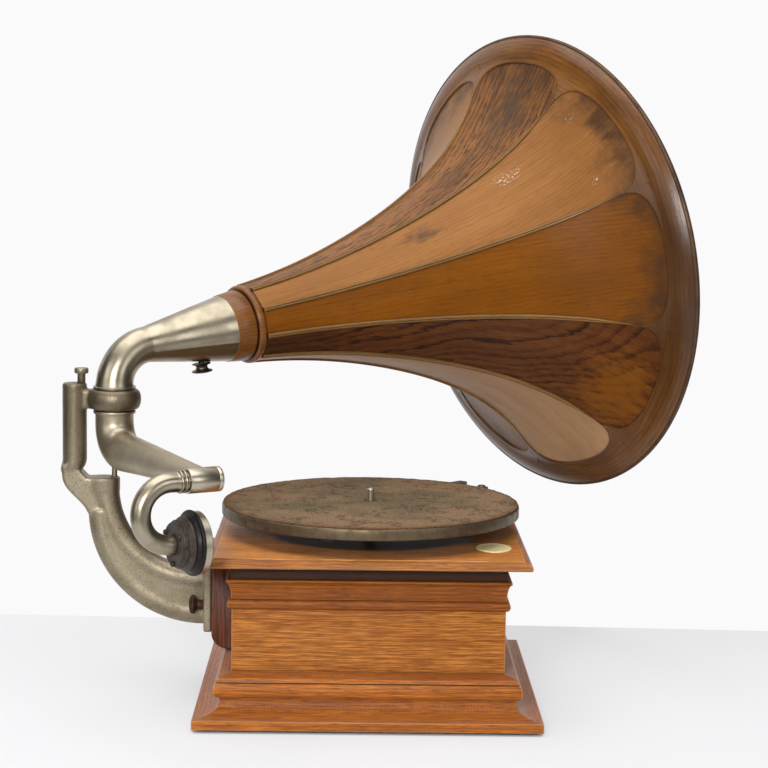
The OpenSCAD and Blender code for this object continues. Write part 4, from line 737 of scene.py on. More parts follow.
# Horn elbow: sheet brass, rolled into a cone, soldered to a cast bend and nickel plated.
# A soldered seam runs along the cone low on the side that faces the camera. A flange sits on the bracket's ring.
ring_x, horn_z, horn_swing, horn_bend = -261.6, 349.8, radians(33.9), radians(82.07)
horn_place = (Matrix.Translation((ring_x, 0, horn_z)) @ Matrix.Rotation(horn_swing, 4, "Z")
              @ Matrix.Rotation(horn_bend, 4, "Y"))
bend_r = 42
bend_run = bend_r * tan(horn_bend / 2)
bend_z = horn_z - bend_run
cone_end, cone_r, pipe_r, sheet_t = 127.5, 34.9, 18.5, 1.3
elbow_steps, seam_ridge, seam_at = 160, 0.55, radians(-70)
out = Vector((cos(horn_swing), sin(horn_swing), 0))
side = Vector((-sin(horn_swing), cos(horn_swing), 0))


def hoop(centre, across, beyond, radius, steps, ridge=0.0, ridge_at=0.0):
    """One ring of a tube. A ridge is a soldered seam along it."""
    ridge_half = 1.5
    points = []
    for i in range(steps):
        a = 2 * pi * i / steps
        off = (a - ridge_at + pi) % (2 * pi) - pi
        r = radius + ridge * exp(-(off * radius / ridge_half) ** 2)
        points.append(centre + r * (cos(a) * across + sin(a) * beyond))
    return points


rings = []
for z, r in ((300.9, 18.7), (311.2, 18.9), (311.35, 21.3), (311.7, 21.6), (313.6, 21.6), (314, 21.2), (314.2, 19.8),
             (316, 19.4)):
    rings.append(hoop(Vector((ring_x, 0, z)), out, side, r, elbow_steps))
bend = []
for i in range(25):
    a = horn_bend * i / 24
    centre = Vector((ring_x, 0, bend_z)) + out * bend_r * (1 - cos(a)) + Vector((0, 0, bend_r * sin(a)))
    bend.append((centre, out * cos(a) - Vector((0, 0, sin(a)))))
for i in range(2, 25):
    rings.append(hoop(*bend[i], side, pipe_r + 0.8 * max(0, 1 - i / 8), elbow_steps))
across = bend[-1][1]
axis = out * sin(horn_bend) + Vector((0, 0, cos(horn_bend)))
for i in range(1, 25):
    s = bend_run + (cone_end - bend_run) * i / 24
    r = pipe_r + (cone_r - pipe_r) * (s - bend_run) / (cone_end - bend_run)
    rings.append(hoop(Vector((ring_x, 0, horn_z)) + axis * s, across, side, r, elbow_steps, seam_ridge, seam_at))
# The bore, from the cone's mouth back into the bend.
for s, r in ((cone_end, cone_r - sheet_t), (cone_end - 20, cone_r - 5), (bend_run + 20, pipe_r + 2.2),
             (bend_run, pipe_r - sheet_t)):
    rings.append(hoop(Vector((ring_x, 0, horn_z)) + axis * s, across, side, r, elbow_steps))
rings += [hoop(*bend[i], side, pipe_r - sheet_t, elbow_steps) for i in range(22, 3, -2)]
# Satin nickel on brass: a warm silver that mirrors light and dark in soft bands, clouded with yellow tarnish, with
# painted shade in its corners.
satin_nickel = metal("sheet_brass_satin_nickel_plate", "#a69c88", "#776d5a", 0.27, stain_amount=0.55, stain_size=28,
                     spread=0.06, corner_shade=0.8)
v, f, u = loft(rings)
piece("horn_elbow_plated", "horn", ["horn_elbow"], v, f, satin_nickel)

# Horn screw: a turned thumb screw under the elbow, with a flange and a waisted head. It grips the wooden collar.
# The plating is scuffed, and rust shows in its waist.
# Scuffed nickel on steel: darker than the tube, with small hard glints on its turned edges.
scuffed = metal("turned_steel_scuffed_nickel", "#6a5f51", "#3a2f25", 0.34, stain_amount=0.8, stain_size=6)
seat, screw_along = 31.6, 98
screw_place = horn_place @ Matrix.Translation((0, 0, screw_along)) @ Matrix.Rotation(pi / 2, 4, "Y")
thumb = [(0, 29.4), (2.9, 29.4), (2.9, seat), (9.6, seat), (10, seat + 0.4), (9.4, seat + 0.9), (7, seat + 1.5),
         (6.2, seat + 2.6), (6, seat + 4.2), (6.7, seat + 5.8), (8.6, seat + 7), (10.7, seat + 7.7), (11, seat + 8.2),
         (10.8, seat + 8.7), (10.2, seat + 8.9), (0, seat + 8.9)]
v, f, u = lathe(thumb, screw_place, 56)
piece("horn_screw_turned", "horn_screw", ["horn_thumb_screw"], v, f, scuffed)

# Horn collar: a turned oak ring, glued to the small ends of the panels and slipped over the elbow's mouth.
# A groove and a raised ring finish its wide end.
collar_line = [(29.2, 110), (30, 110), (33.1, 127.3), (35.2, 127.6), (35.5, 128.2), (36.8, 138), (37.9, 147.4),
               (37.6, 148.1), (36.5, 148.9), (36.5, 149.8)]
collar_line += arc(38.8, 154.3, 3, 4.3, -88, 88) + [(37.4, 158.6), (36.2, 158.6), (33, 140), (29.2, 110)]
ring_mid, quirk_off, quirk_dark_out, quirk_dark_in = 51.4, 7.4, 2.4, 0.8


def in_quirks(tree):
    """Darker colour in the quirks at both sides of the raised ring, measured along the turned profile."""
    grain = add(tree, "UVMap", uv_map="grain")
    run = add(tree, "SeparateXYZ", {"Vector": grain})
    from_ring = add(tree, "Math", {0: run.outputs["X"], 1: ring_mid}, operation="SUBTRACT")
    aside = add(tree, "Math", {0: from_ring}, operation="ABSOLUTE")
    from_quirk = add(tree, "Math", {0: aside, 1: quirk_off}, operation="SUBTRACT")
    off = add(tree, "Math", {0: from_quirk}, operation="ABSOLUTE")
    return add(tree, "MapRange", {"Value": off, "From Min": quirk_dark_out, "From Max": quirk_dark_in, "To Max": 0.85})


# Turned oak, well polished: darker and glossier than the panels, with pale rubbed edges.
collar_oak = wood("turned_oak_shellac", "#86521f", "#583110", "#3c200c", spacing=4, wander=3, rough=0.3, gloss=0.34,
                  stain="#4e2b11", stain_amount=0.5, stain_size=22, shift=14.0, wear="#b98a58", crevice_shade="#160c06",
                  reach=9, streak=0.4, porous=0.4)
lay_dirt_and_shade(collar_oak, in_quirks, "#1d1008")
v, f, u = lathe(collar_line, horn_place, 96)
piece("horn_collar_turned", "horn", ["horn_collar"], v, f, collar_oak, u)

# Horn panels: nine tapered oak staves, steamed to the flare, glued edge to edge and faced with sawn veneer.
# Each ends in a petal under the rim band, and no two show the same figure.
panels, panel_start, petal_top, petal_cusp = 9, 158.65, 545.0, 24.0
seam, turn, wood_t = radians(4.3), radians(360 / panels), 4.0
flare_start, flare_long, throat_r, flare_out = 150, 413, 39.8, 228.2


def flare(s):
    """The horn's outer radius at a distance along its axis."""
    t = (s - flare_start) / flare_long
    return throat_r + flare_out * (0.169 * t + 0.521 * t * t + 0.31 * t ** 8.1)


def on_horn(s, angle, off, sink=0.0):
    """A point off the outside of the flare, measured square to it. Sink draws it in towards the axis."""
    lean = flare(s + 0.5) - flare(s - 0.5)
    long = hypot(1, lean)
    r, z = flare(s) * (1 - sink) + off / long, s - off * lean / long
    return horn_place @ Vector((r * cos(angle), r * sin(angle), z))


def petal_end(q):
    """Where a petal ends along the horn's axis: q runs from -1 to 1 across the petal."""
    return petal_top - petal_cusp * (1 - (1 - abs(q) ** 3.4) ** (1 / 3.4))


def shell(outer, inner, uv):
    """A sheet between two grids of points, closed at its edges."""
    rows, columns = len(outer), len(outer[0])
    verts = [p for row in outer for p in row] + [p for row in inner for p in row]
    flat = [p for row in uv for p in row] * 2
    under = rows * columns
    faces = []
    for i in range(rows - 1):
        for j in range(columns - 1):
            a, b = i * columns + j, i * columns + j + 1
            faces.append((a, b, b + columns, a + columns))
            faces.append((under + a, under + a + columns, under + b + columns, under + b))
    for j in range(columns - 1):
        for i in (0, rows - 1):
            a, b = i * columns + j, i * columns + j + 1
            faces.append((a, b, under + b, under + a))
    for i in range(rows - 1):
        for j in (0, columns - 1):
            a, b = i * columns + j, (i + 1) * columns + j
            faces.append((a, b, under + b, under + a))
    return verts, faces, [[flat[i] for i in face] for face in faces]


half_mm_steps = 900
meridian = [0.0]
for i in range(1, half_mm_steps + 1):
    s = flare_start + i / 2
    meridian.append(meridian[-1] + hypot(0.5, flare(s) - flare(s - 0.5)))


def along_flare(s):
    """How far along the curved outside of the horn a point lies, for the grain."""
    return meridian[min(half_mm_steps, max(0, round((s - flare_start) * 2)))]


# Oak veneers under shellac, from the seam under the elbow round the horn: most are straight and quiet, three show a
# bold figure, and each is stained a little apart. Marks are stains and worn patches, and flecks are pale chips.
veneers = [
    dict(light="#a97645", dark="#8a5a30", pore="#6a3f1f", streak=0.35, line=0.35, porous=0.35),
    dict(light="#9a6a38", dark="#66401c", pore="#4a2a12", pith=10, tilt=0.12, spacing=7),
    dict(light="#9f6c3b", dark="#7a4c24", pore="#573214", streak=0.35, line=0.35, porous=0.35),
    dict(light="#a5733b", dark="#84552a", pore="#6d421c", streak=0.35, line=0.35, porous=0.35),
    dict(light="#9f672e", dark="#472810", pore="#38200e", pith=-110, depth=60, tilt=0.1, spacing=5.5, line=1.3,
         wander=13, shake=1.3, streak=0.3,
         marks=((405, 12, 66, 50, "#43352a", 0.75), (300, 8, 60, 20, "#4a3320", 0.35))),
    dict(light="#9f6b35", dark="#7a4c22", pore="#5f3c1d", wander=6, stain="#85562a", stain_amount=0.55, stain_size=60,
         streak=0.34, line=0.34, porous=0.38,
         marks=((212, -9, 26, 10, "#4a3826", 0.75), (447, -12, 12, 30, "#3c2818", 0.7),
                (447, 34, 14, 24, "#3c2818", 0.6)),
         flecks=((334, -27, 17, 9, "#e6dccb", 0.95), (408, 41, 7, 6, "#e6dccb", 0.9),
                 (425, -42, 6, 6, "#d8c8aa", 0.8))),
    dict(light="#864d0c", dark="#653804", pore="#482905", wander=5, gloss=0.08, stain="#653a0c", stain_amount=0.5,
         stain_size=80, streak=0.36, line=0.36, porous=0.4,
         marks=((442, -58, 12, 18, "#3c2714", 0.6), (450, 36, 10, 40, "#3c2714", 0.5))),
    dict(light="#6e3f1a", dark="#2f170a", pore="#2b1608", pith=-90, depth=60, tilt=0.24, spacing=7.5, line=0.85,
         wander=15, shake=1.0, streak=0.3,
         marks=((40, 0, 90, 40, "#3a2010", 0.6), (425, 20, 50, 60, "#8a5312", 0.6))),
    dict(light="#c49b74", dark="#a27852", pore="#845738", wander=4, stain="#8d6444", stain_amount=0.45, stain_size=70,
         streak=0.3, line=0.3, porous=0.25)]
dirt_reach, dirt_thick, dirt_patch = 95, 26, 34


def petal_dirt(tree):
    """Hand dirt that lies thick and patchy against the rim band and thins out down the petal."""
    close = add(tree, "Attribute", attribute_name="near_rim")
    near = add(tree, "MapRange", {"Value": close.outputs["Fac"], "From Min": dirt_reach - dirt_thick,
                                  "From Max": dirt_reach, "To Max": 0.3})
    film = add(tree, "MapRange", {"Value": close.outputs["Fac"], "From Max": dirt_reach, "To Max": 0.24})
    patch = add(tree, "TexNoise", {"Vector": millimetres(tree), "Scale": 1 / dirt_patch, "Detail": 7.0,
                                   "Roughness": 0.66})
    both = add(tree, "Math", {0: near, 1: patch}, operation="ADD")
    thick = add(tree, "MapRange", {"Value": both, "From Min": 0.6, "From Max": 0.86, "To Max": 0.62})
    return add(tree, "Math", {0: thick, 1: film}, operation="ADD", use_clamp=True)


rows, columns = 56, 26
wiped = (7, 8)  # the low petals that hands reach least, with no dirt at their ends
glue_line, tucked = 0.0006, 3  # half the gap between two panels, in radians, and how far a petal runs under the rim
# Each stave is half flat between its seams, and rounder at the throat and under the rim.
for k in range(panels):
    outer, inner, spots = [], [], []
    for i in range(rows + 1):
        t = 1 - (1 - i / rows) ** 1.5
        line_out, line_in, line_uv = [], [], []
        for j in range(columns + 1):
            q = sin(pi * (j / columns - 0.5))
            angle = seam + turn * (k + 0.5) + q * (turn / 2 - glue_line)
            end = petal_end(q) + tucked
            s = panel_start + (end - panel_start) * t
            flat = 0.55 * min(1, 0.4 + t * 3) * min(1, 0.3 + (end - s) / 60)
            sink = flat * (1 - cos(turn / 2) / cos(q * turn / 2))
            line_out.append(on_horn(s, angle, 0, sink))
            line_in.append(on_horn(s, angle, -wood_t, sink))
            line_uv.append((along_flare(s), flare(s) * q * turn / 2))
        outer.append(line_out)
        inner.append(line_in)
        spots.append(line_uv)
    veneer = wood("oak_veneer_shellac_%d" % (k + 1), **{"rough": 0.4, "gloss": 0.14, "shift": 20.0 + 3 * k,
                                                        "crevice_shade": "#24150a", "reach": 5, **veneers[k]})
    if k not in wiped:
        lay_dirt_and_shade(veneer, petal_dirt, "#452d1b")
    v, f, u = shell(outer, inner, spots)
    petal = piece("horn_petal_%d" % (k + 1), "horn",
                  ["horn_panel_%d" % (k + 1)], v, f, veneer, u)
    near_rim = petal.data.attributes.new("near_rim", "FLOAT", "POINT")
    for point in petal.data.vertices:
        local = horn_place.inverted() @ (point.co / MM)
        q = ((atan2(local.y, local.x) - seam) / turn - k) % panels * 2 - 1
        near_rim.data[point.index].value = max(0, dirt_reach - petal_end(min(1, max(-1, q))) + local.z)

# Seam ribs: nine thin oak beads, planed with a fine groove and glued over the joints between the panels.
# Their tips are cut to a point where they meet the rim band.
rib_line = [(-2.5, -0.4), (-2.4, 1.2), (-1.7, 2.0), (-0.7, 2.1), (-0.2, 1.3), (0.2, 1.3), (0.7, 2.1), (1.7, 2.0),
            (2.4, 1.2), (2.5, -0.4)]
# Straight-grained oak, handled along its top: a pale worn line between two dark lines of painted shade where the bead
# meets the panels.
rib_oak = wood("planed_oak_bead_shellac", "#875e2d", "#553714", "#3b2710", spacing=3, wander=1, rough=0.34,
               shift=51.0, stain="#4a3012", stain_amount=0.5, stain_size=30, wear="#b48a54", crevice_shade="#1c1008",
               reach=3)
rib_steps, tip_steps = 70, 7
ribs = []
for k in range(panels):
    rings = []
    for i in range(rib_steps + 1):
        s = panel_start + 0.3 + (petal_top - petal_cusp + 4 - panel_start) * i / rib_steps
        tip = min(1, (rib_steps - i) / tip_steps + 0.08)
        angle = seam + turn * k
        rings.append([on_horn(s, angle + w * tip / flare(s), h * (0.35 + 0.65 * tip)) for w, h in rib_line])
    ribs.append(loft(rings))
v, f, u = joined(ribs)
piece("horn_rib_set", "horn", ["horn_ribs"], v, f, rib_oak, u)

# Rim band: a wide oak hoop in bent lengths, its inner edge sawn to follow the petals and rounded over.
# It stands a little proud of the panels, rolls outwards and is glued down all round.
outer, inner, spots = [], [], []
rim_end, rim_rows, grain_at = 561, 26, 540
rise = [(0, -0.2), (0.25, 0.55), (0.8, 0.95), (1.8, 1.05)]
risen, proud = rise[-1]
roll_high = 2.9
for i in range(rim_rows):
    line_out, line_in, line_uv = [], [], []
    for c in range(panels * columns + 1):
        k, j = divmod(c, columns)
        q = sin(pi * (j / columns - 0.5))
        angle = seam + turn * (k + 0.5) + q * turn / 2
        start = petal_end(q)
        if i < len(rise):
            s, lift = start + rise[i][0], rise[i][1]
        else:
            t = (i - len(rise) + 1) / (rim_rows - len(rise))
            s = start + risen + (rim_end - start - risen) * (1 - (1 - t) ** 1.5)
            roll = max(0, (s - petal_top - risen) / (rim_end - petal_top - risen))
            lift = proud + roll_high * sin(pi * roll ** 0.9) - proud * roll ** 4
        line_out.append(on_horn(s, angle, lift))
        line_in.append(on_horn(s, angle, -wood_t))
        line_uv.append((flare(grain_at) * (angle - seam), along_flare(s)))
    outer.append(line_out)
    inner.append(line_in)
    spots.append(line_uv)
crown_z, dark_top_z, dark_foot_z, foot_z = 610, 470, 360, 260


def rim_side_shade(tree):
    """Painted shade: the hoop is made darker half way down than at its crown and foot."""
    level = height(tree)
    down = add(tree, "MapRange", {"Value": level, "From Min": crown_z * MM, "From Max": dark_top_z * MM,
                                  "To Max": 0.66})
    up = add(tree, "MapRange", {"Value": level, "From Min": foot_z * MM, "From Max": dark_foot_z * MM,
                                "To Min": 0.3})
    return add(tree, "Math", {0: down, 1: up}, operation="MULTIPLY")


# Oak under a thick brown varnish: the glossiest wood here, with its grain running round the hoop half hidden.
rim_wood = wood("bent_oak_brown_varnish", "#875725", "#573415", "#3a200c", wander=5, rough=0.29, gloss=0.38,
                shift=57.0, stain="#43260f", stain_amount=0.6, stain_size=60, wear="#9a6a42", crevice_shade="#20110a",
                streak=0.5, line=0.5, porous=0.35)
# Painted shade half way down the hoop.
lay_dirt_and_shade(rim_wood, rim_side_shade, "#2e1a0b")
v, f, u = shell(outer, inner, spots)
piece("horn_rim_band", "horn", ["horn_rim"], v, f, rim_wood, u)

# Edge bead: a thin hoop of browned wire let into the end of the rim band.
# It guards the lip, and is worn along its outside.
bead_r, bead_sunk = 2.8, 2.4
bead_line = [(flare(rim_end) - bead_sunk + x, rim_end + z) for x, z in arc(0, 0, bead_r, bead_r, 0, 342, 19)]
v, f, u = lathe(bead_line + bead_line[:1], horn_place, 240)
# Browned iron wire: a dull dark line with a faint sheen.
bead_steel = metal("drawn_wire_browned", "#5c432d", "#33221a", 0.4, stain_amount=0.75, stain_size=26, metallic=0.5)
piece("horn_edge_wire", "horn", ["horn_edge_bead"], v, f, bead_steel)

# Tonearm: a tapered elbow of nickelled brass tube that hangs in the bracket's ring and turns on the pivot pin.
# The bend is cast and the long cone is rolled from sheet.
arm_place = Matrix.Translation((ring_x, 0, 0)) @ Matrix.Rotation(radians(-60), 4, "Z")
arm_z, arm_bend, arm_len, arm_r, arm_tip_r = 248.9, 28, 214, 19.5, 9.5
cross_clear, arm_steps = 11.5, 96
x_axis, y_axis, z_axis = Vector((1, 0, 0)), Vector((0, 1, 0)), Vector((0, 0, 1))
rings = []
for z, r in ((299.4, 17.5), (299.6, 18.7), (289, 18.7), (288.8, 21.2), (288.4, 21.5), (286.5, 21.5), (286, 21.1),
             (285.8, 19.8), (284, arm_r)):
    rings.append(hoop(Vector((0, 0, z)), x_axis, y_axis, r, arm_steps))
for i in range(21):
    a = pi / 2 * i / 20
    centre = Vector((arm_bend * (1 - cos(a)), 0, arm_z + arm_bend * (1 - sin(a))))
    across = x_axis * cos(a) + z_axis * sin(a)
    rings.append(hoop(centre, across, y_axis, arm_r + 0.35 * sin(2 * a), arm_steps))
for i in range(1, 13):
    x = arm_bend + (arm_len - cross_clear - arm_bend) * i / 12
    r = arm_r + (arm_tip_r - arm_r) * (x - arm_bend) / (arm_len - arm_bend)
    rings.append(hoop(Vector((x, 0, arm_z)), z_axis, y_axis, r, arm_steps))
v, f, u = loft([[arm_place @ p for p in ring] for ring in rings])
# Dulled nickel on brass: the same warm silver as the elbow, but with its reflections blurred by handling, and painted
# shade in its corners.
dull_nickel = metal("cast_brass_dull_nickel_plate", "#b5aa94", "#8a7e68", 0.38, stain_amount=0.5, stain_size=30,
                    spread=0.06, corner_shade=0.8)
piece("tonearm_cone", "tonearm", ["tonearm_tube"], v, f, dull_nickel)

# Cross tube: a short brass sleeve brazed across the tip of the arm, closed at one end with a flat disc.
# The gooseneck turns in its open end.
cross_place = arm_place @ Matrix.Translation((arm_len, 0, arm_z)) @ Matrix.Rotation(-pi / 2, 4, "X")
sleeve = [(0, 13.4), (8.6, 13.4), (9, 13.7), (9.6, 14), (11.2, 14), (11.8, 13.7), (12, 13.1), (12, 10), (11.75, 9.7),
          (12, 9.4), (12, -19.2), (11.8, -19.7), (11.2, -20), (10.2, -20), (10.2, -2), (9.8, 11), (0, 11)]
v, f, u = lathe(sleeve, cross_place, 72)
# Nickel on smooth drawn tube: the brightest metal here, with long clean highlights.
bright_nickel = metal("drawn_brass_bright_nickel_plate", "#bdb4a1", "#948a76", 0.3, stain_amount=0.4, stain_size=30,
                      spread=0.05)
piece("cross_sleeve", "tonearm", ["tonearm_cross_tube"], v, f, bright_nickel)

# Gooseneck: a U of drawn brass tube, with two bead rings turned on a ferrule next to the cross tube.
# It lifts the soundbox off the record by turning in the cross tube.
goose_place = (arm_place @ Matrix.Translation((arm_len, 0, arm_z)) @ Matrix.Rotation(-pi / 2, 4, "Z")
               @ Matrix.Rotation(pi / 2, 4, "Y"))
goose_r, goose_bend, goose_leg, goose_tip, goose_steps = 9.6, 29.45, 36.9, 33.6, 72
bead_at, bead_swell = (23.4, 27.4), 1.5
ferrule = [(8.6, 6.8), (9.5, 7.2), (9.7, 14.6), (9.7, 21.4)]
for z in bead_at:
    ferrule += [(9.65 + x, z + y) for x, y in arc(0, 0, bead_swell, bead_swell, -88, 88, 10)] + [(9.65, z + 1.8)]
ferrule += [(9.75, 30.6), (9.6, 31), (goose_r, 31.4)]
rings = [hoop(Vector((0, 0, z)), x_axis, y_axis, r, goose_steps) for r, z in ferrule]
for i in range(31):
    a = pi * i / 30
    centre = Vector((goose_bend * (1 - cos(a)), 0, goose_leg + goose_bend * sin(a)))
    rings.append(hoop(centre, x_axis * cos(a) - z_axis * sin(a), y_axis, goose_r, goose_steps))
rings.append(hoop(Vector((2 * goose_bend, 0, goose_tip)), -x_axis, y_axis, goose_r, goose_steps))
v, f, u = loft([[goose_place @ p for p in ring] for ring in rings])
piece("gooseneck_plated", "gooseneck", ["gooseneck_tube"], v, f, satin_nickel)

# Soundbox back: a hardened rubber isolator in steps, a blued back plate and a bright rim, held by three screws.
# The rubber has dried dark brown, and the rear ring is notched for fingers.
box_place = goose_place @ Matrix.Translation((2 * goose_bend, 0, 0))
isolator = [(9.4, 33.3), (9.4, 25.1), (7.2, 25.1), (7.2, 21.02), (25.4, 21.02), (26, 21.6), (25.6, 23.4), (24.9, 24),
            (22.4, 25.6), (22, 26.2), (23, 27.4), (23, 29.6), (22.6, 30), (21.3, 30.6), (21, 31.1), (21, 32.8),
            (20.5, 33.4), (9.6, 33.4)]
box_steps, notches, notch_deep = 144, 12, 1.5
rear_low, rear_high, rear_r = 27, 30, 20
rings = []
for i in range(box_steps + 1):
    a = 2 * pi * i / box_steps
    notch = notch_deep * max(0, cos(notches * a)) ** 6
    cut = [(r - notch if rear_low < z < rear_high and r > rear_r else r, z) for r, z in isolator + isolator[:1]]
    rings.append([box_place @ Vector((r * cos(a), r * sin(a), z)) for r, z in cut])
v, f, u = loft(rings, caps=False)
# Hardened moulded rubber: a dull brown black with dust in its pimpled skin, and hardly any shine.
dust_per_mm, pimples_per_mm = 0.22, 1.1
rubber, tree = new_material("hardened_rubber_dusty")
in_mm = millimetres(tree)
dust = add(tree, "TexNoise", {"Vector": in_mm, "Scale": dust_per_mm, "Detail": 5.0})
dusty = add(tree, "MapRange", {"Value": dust, "From Min": 0.45, "From Max": 0.7, "To Max": 0.6})
shade = add(tree, "Mix", {"Factor": dusty, "A": colour("#261a14"), "B": colour("#4c3827")}, data_type="RGBA")
pimple = add(tree, "TexNoise", {"Vector": in_mm, "Scale": pimples_per_mm, "Detail": 3.0})
bump = add(tree, "Bump", {"Strength": 0.3, "Distance": 0.2 * MM, "Height": pimple})
surface = add(tree, "BsdfPrincipled", {"Base Color": shade, "Roughness": 0.5, "Normal": bump})
add(tree, "OutputMaterial", {"Surface": surface})
piece("isolator_stepped", "gooseneck", ["soundbox_isolator"], v, f, rubber, sharp=30)

back_line = [(7.2, 20.95), (7.2, 13.05), (30, 13.05), (30.8, 13.4)] + arc(29.75, 14.85, 1.5, 1.8, -50, 85, 8)
back_line += [(28.2, 17), (27.2, 18.4), (26.4, 19.8), (25.2, 20.7), (24.6, 20.95)]
v, f, u = lathe(back_line + back_line[:1], box_place, 96)
# Blued steel, worn: near black with a cold satin shine on its rings, and browned in patches.
blued = metal("turned_steel_worn_bluing", "#1e1c1e", "#33281f", 0.36, stain_amount=0.5, stain_size=9, metallic=0.7)
piece("back_plate_blued", "gooseneck", ["soundbox_back_plate"], v, f, blued)

paint(bright_nickel, "soundbox_rim")
paint(rubber, "soundbox_gaskets")
# Blackened screws: dark brown, with a small blunt glint on each round head.
dark_steel = metal("turned_steel_blackened", "#4b4238", "#2b231c", 0.4, stain_amount=0.8, stain_size=5, metallic=0.9)
screw_line = [(0, 14.2), (1.6, 14.2), (1.6, 33.4), (2.8, 33.45), (2.8, 34.6), (2.4, 35.4), (1.4, 35.8), (0, 35.8)]
box_screws, screw_ring = 3, 18.2
screws = []
for k in range(box_screws):
    a = 2 * pi * k / box_screws
    place = box_place @ Matrix.Translation((screw_ring * cos(a), screw_ring * sin(a), 0))
    screws.append(lathe(screw_line, place, 28))
v, f, u = joined(screws)
piece("box_screw_set", "gooseneck", ["soundbox_screws"], v, f, dark_steel)

# Diaphragm and stylus: a clear mica disc between rubber rings, shaken by a pivoted steel bar that holds the needle.
# They face away from the camera, and keep their CAD shape.
# Split mica: a thin horn-coloured sheet, glossy and half clear, clouded between its flakes.
flakes_per_mm = 0.15
mica, tree = new_material("split_mica_sheet")
flake = add(tree, "TexNoise", {"Vector": millimetres(tree), "Scale": flakes_per_mm, "Detail": 5.0})
shade = add(tree, "Mix", {"Factor": flake, "A": colour("#d6ccae"), "B": colour("#b5a583")}, data_type="RGBA")
surface = add(tree, "BsdfPrincipled", {"Base Color": shade, "Roughness": 0.18, "Alpha": 0.75})
add(tree, "OutputMaterial", {"Surface": surface})
paint(mica, "soundbox_diaphragm")
paint(worn_steel, "stylus_bar", "needle_screw")
# Bright drawn steel, new and hardly tarnished.
needle_steel = metal("drawn_steel_bright", "#a5a39c", "#7c786e", 0.25, stain_amount=0.4, stain_size=4)
paint(needle_steel, "needle")

# Turntable: a spun steel platter with a plain turned-down rim, nickel plated, and stained where hands turn it.
# It rides a shouldered steel spindle.
table_r, rim_z, table_top, hub_z = 152.4, 185.5, 196.9, 180
platter = [(4.05, table_top - 0.05), (table_r - 1.6, table_top - 0.05), (table_r - 0.9, table_top - 0.4),
           (table_r - 0.25, table_top - 1.1), (table_r, table_top - 2), (table_r, rim_z + 1.2),
           (table_r - 0.3, rim_z + 0.4), (table_r - 1, rim_z), (table_r - 2.6, rim_z), (table_r - 3.4, rim_z + 0.6),
           (table_r - 3.5, table_top - 5), (table_r - 5.5, table_top - 3), (16, table_top - 3),
           (14, table_top - 5), (14, hub_z), (4.05, hub_z)]
v, f, u = lathe(platter + platter[:1], Matrix.Translation((spindle_x, 0, 0)), 200)
# Nickel gone brown under finger marks: a dull bronze grey with soft streaks of light.
rim_nickel = metal("spun_steel_stained_nickel", "#6a5b46", "#463926", 0.38, stain_amount=0.6, stain_size=9,
                   metallic=0.8)
piece("platter_spun", "turntable", ["turntable_platter"], v, f, rim_nickel)

# Felt: a disc of green wool cloth glued on the platter, worn to brown, bald in places and frayed round its edge.
# The nap is drawn coarser than real wool so that it shows.
felt_r, felt_bore, felt_low, felt_top = 151.2, 3.95, 196.95, 198.9
felt_rings, felt_steps = 44, 360
lump, tuft_size = 9, 2.6
rings = []
outwards = [(i / felt_rings) ** 0.8 for i in range(1, felt_rings + 1)]
for i in range(felt_steps):
    a = 2 * pi * i / felt_steps
    fray = 0.9 * noise.noise((20 * cos(a), 20 * sin(a), 3.0)) + 0.5 * noise.noise((70 * cos(a), 70 * sin(a), 8.0))
    column = [(felt_bore, felt_low), (felt_bore, felt_top - 0.1)]
    for share in outwards:
        r = felt_bore + (felt_r - 0.4 + fray - felt_bore) * share
        x, y = r * cos(a), r * sin(a)
        nap = 0.35 * noise.noise((x / lump, y / lump, 1.0))
        nap += 0.2 * noise.noise((x / tuft_size, y / tuft_size, 5.0))
        column.append((r, felt_top - 0.35 + nap - 0.4 * share ** 40))
    column += [(felt_r + fray, felt_low + 0.7), (felt_r - 0.3 + fray, felt_low)]
    rings.append([(spindle_x + r * cos(a), r * sin(a), z) for r, z in column])
v, f, u = loft(rings, loop=True)
# Pressed wool, matted and faded: no shine, a speckle of tufts, mossy green where its nap is left and brown elsewhere.
moss_size, scrap_size, fringe_wide, felt_out = 70, 24, 8, 151
nap_gone, nap_kept, tufts_per_mm = 150, 30, 0.55
felt, tree = new_material("wool_felt_worn")
in_mm = millimetres(tree)
patch = add(tree, "TexNoise", {"Vector": in_mm, "Scale": 1 / moss_size, "Detail": 5.0, "Roughness": 0.6})
off_axis = add(tree, "VectorMath", {0: in_mm, 1: (spindle_x, 0, felt_top)}, operation="DISTANCE")
kept_nap = add(tree, "MapRange", {"Value": off_axis.outputs["Value"], "From Min": nap_gone, "From Max": nap_kept,
                                  "To Min": -0.1, "To Max": 0.12})
matted = add(tree, "Math", {0: patch, 1: kept_nap}, operation="ADD")
moss = add(tree, "MapRange", {"Value": matted, "From Min": 0.42, "From Max": 0.62})
tuft = add(tree, "TexNoise", {"Vector": in_mm, "Scale": tufts_per_mm, "Detail": 5.0, "Roughness": 0.75})
speckle = add(tree, "MapRange", {"Value": tuft, "From Min": 0.36, "From Max": 0.64})
worn = add(tree, "Mix", {"Factor": speckle, "A": colour("#553d2a"), "B": colour("#9f8263")}, data_type="RGBA")
green = add(tree, "Mix", {"Factor": speckle, "A": colour("#383023"), "B": colour("#7d6d52")}, data_type="RGBA")
shade = add(tree, "Mix", {"Factor": moss, "A": worn, "B": green}, data_type="RGBA")
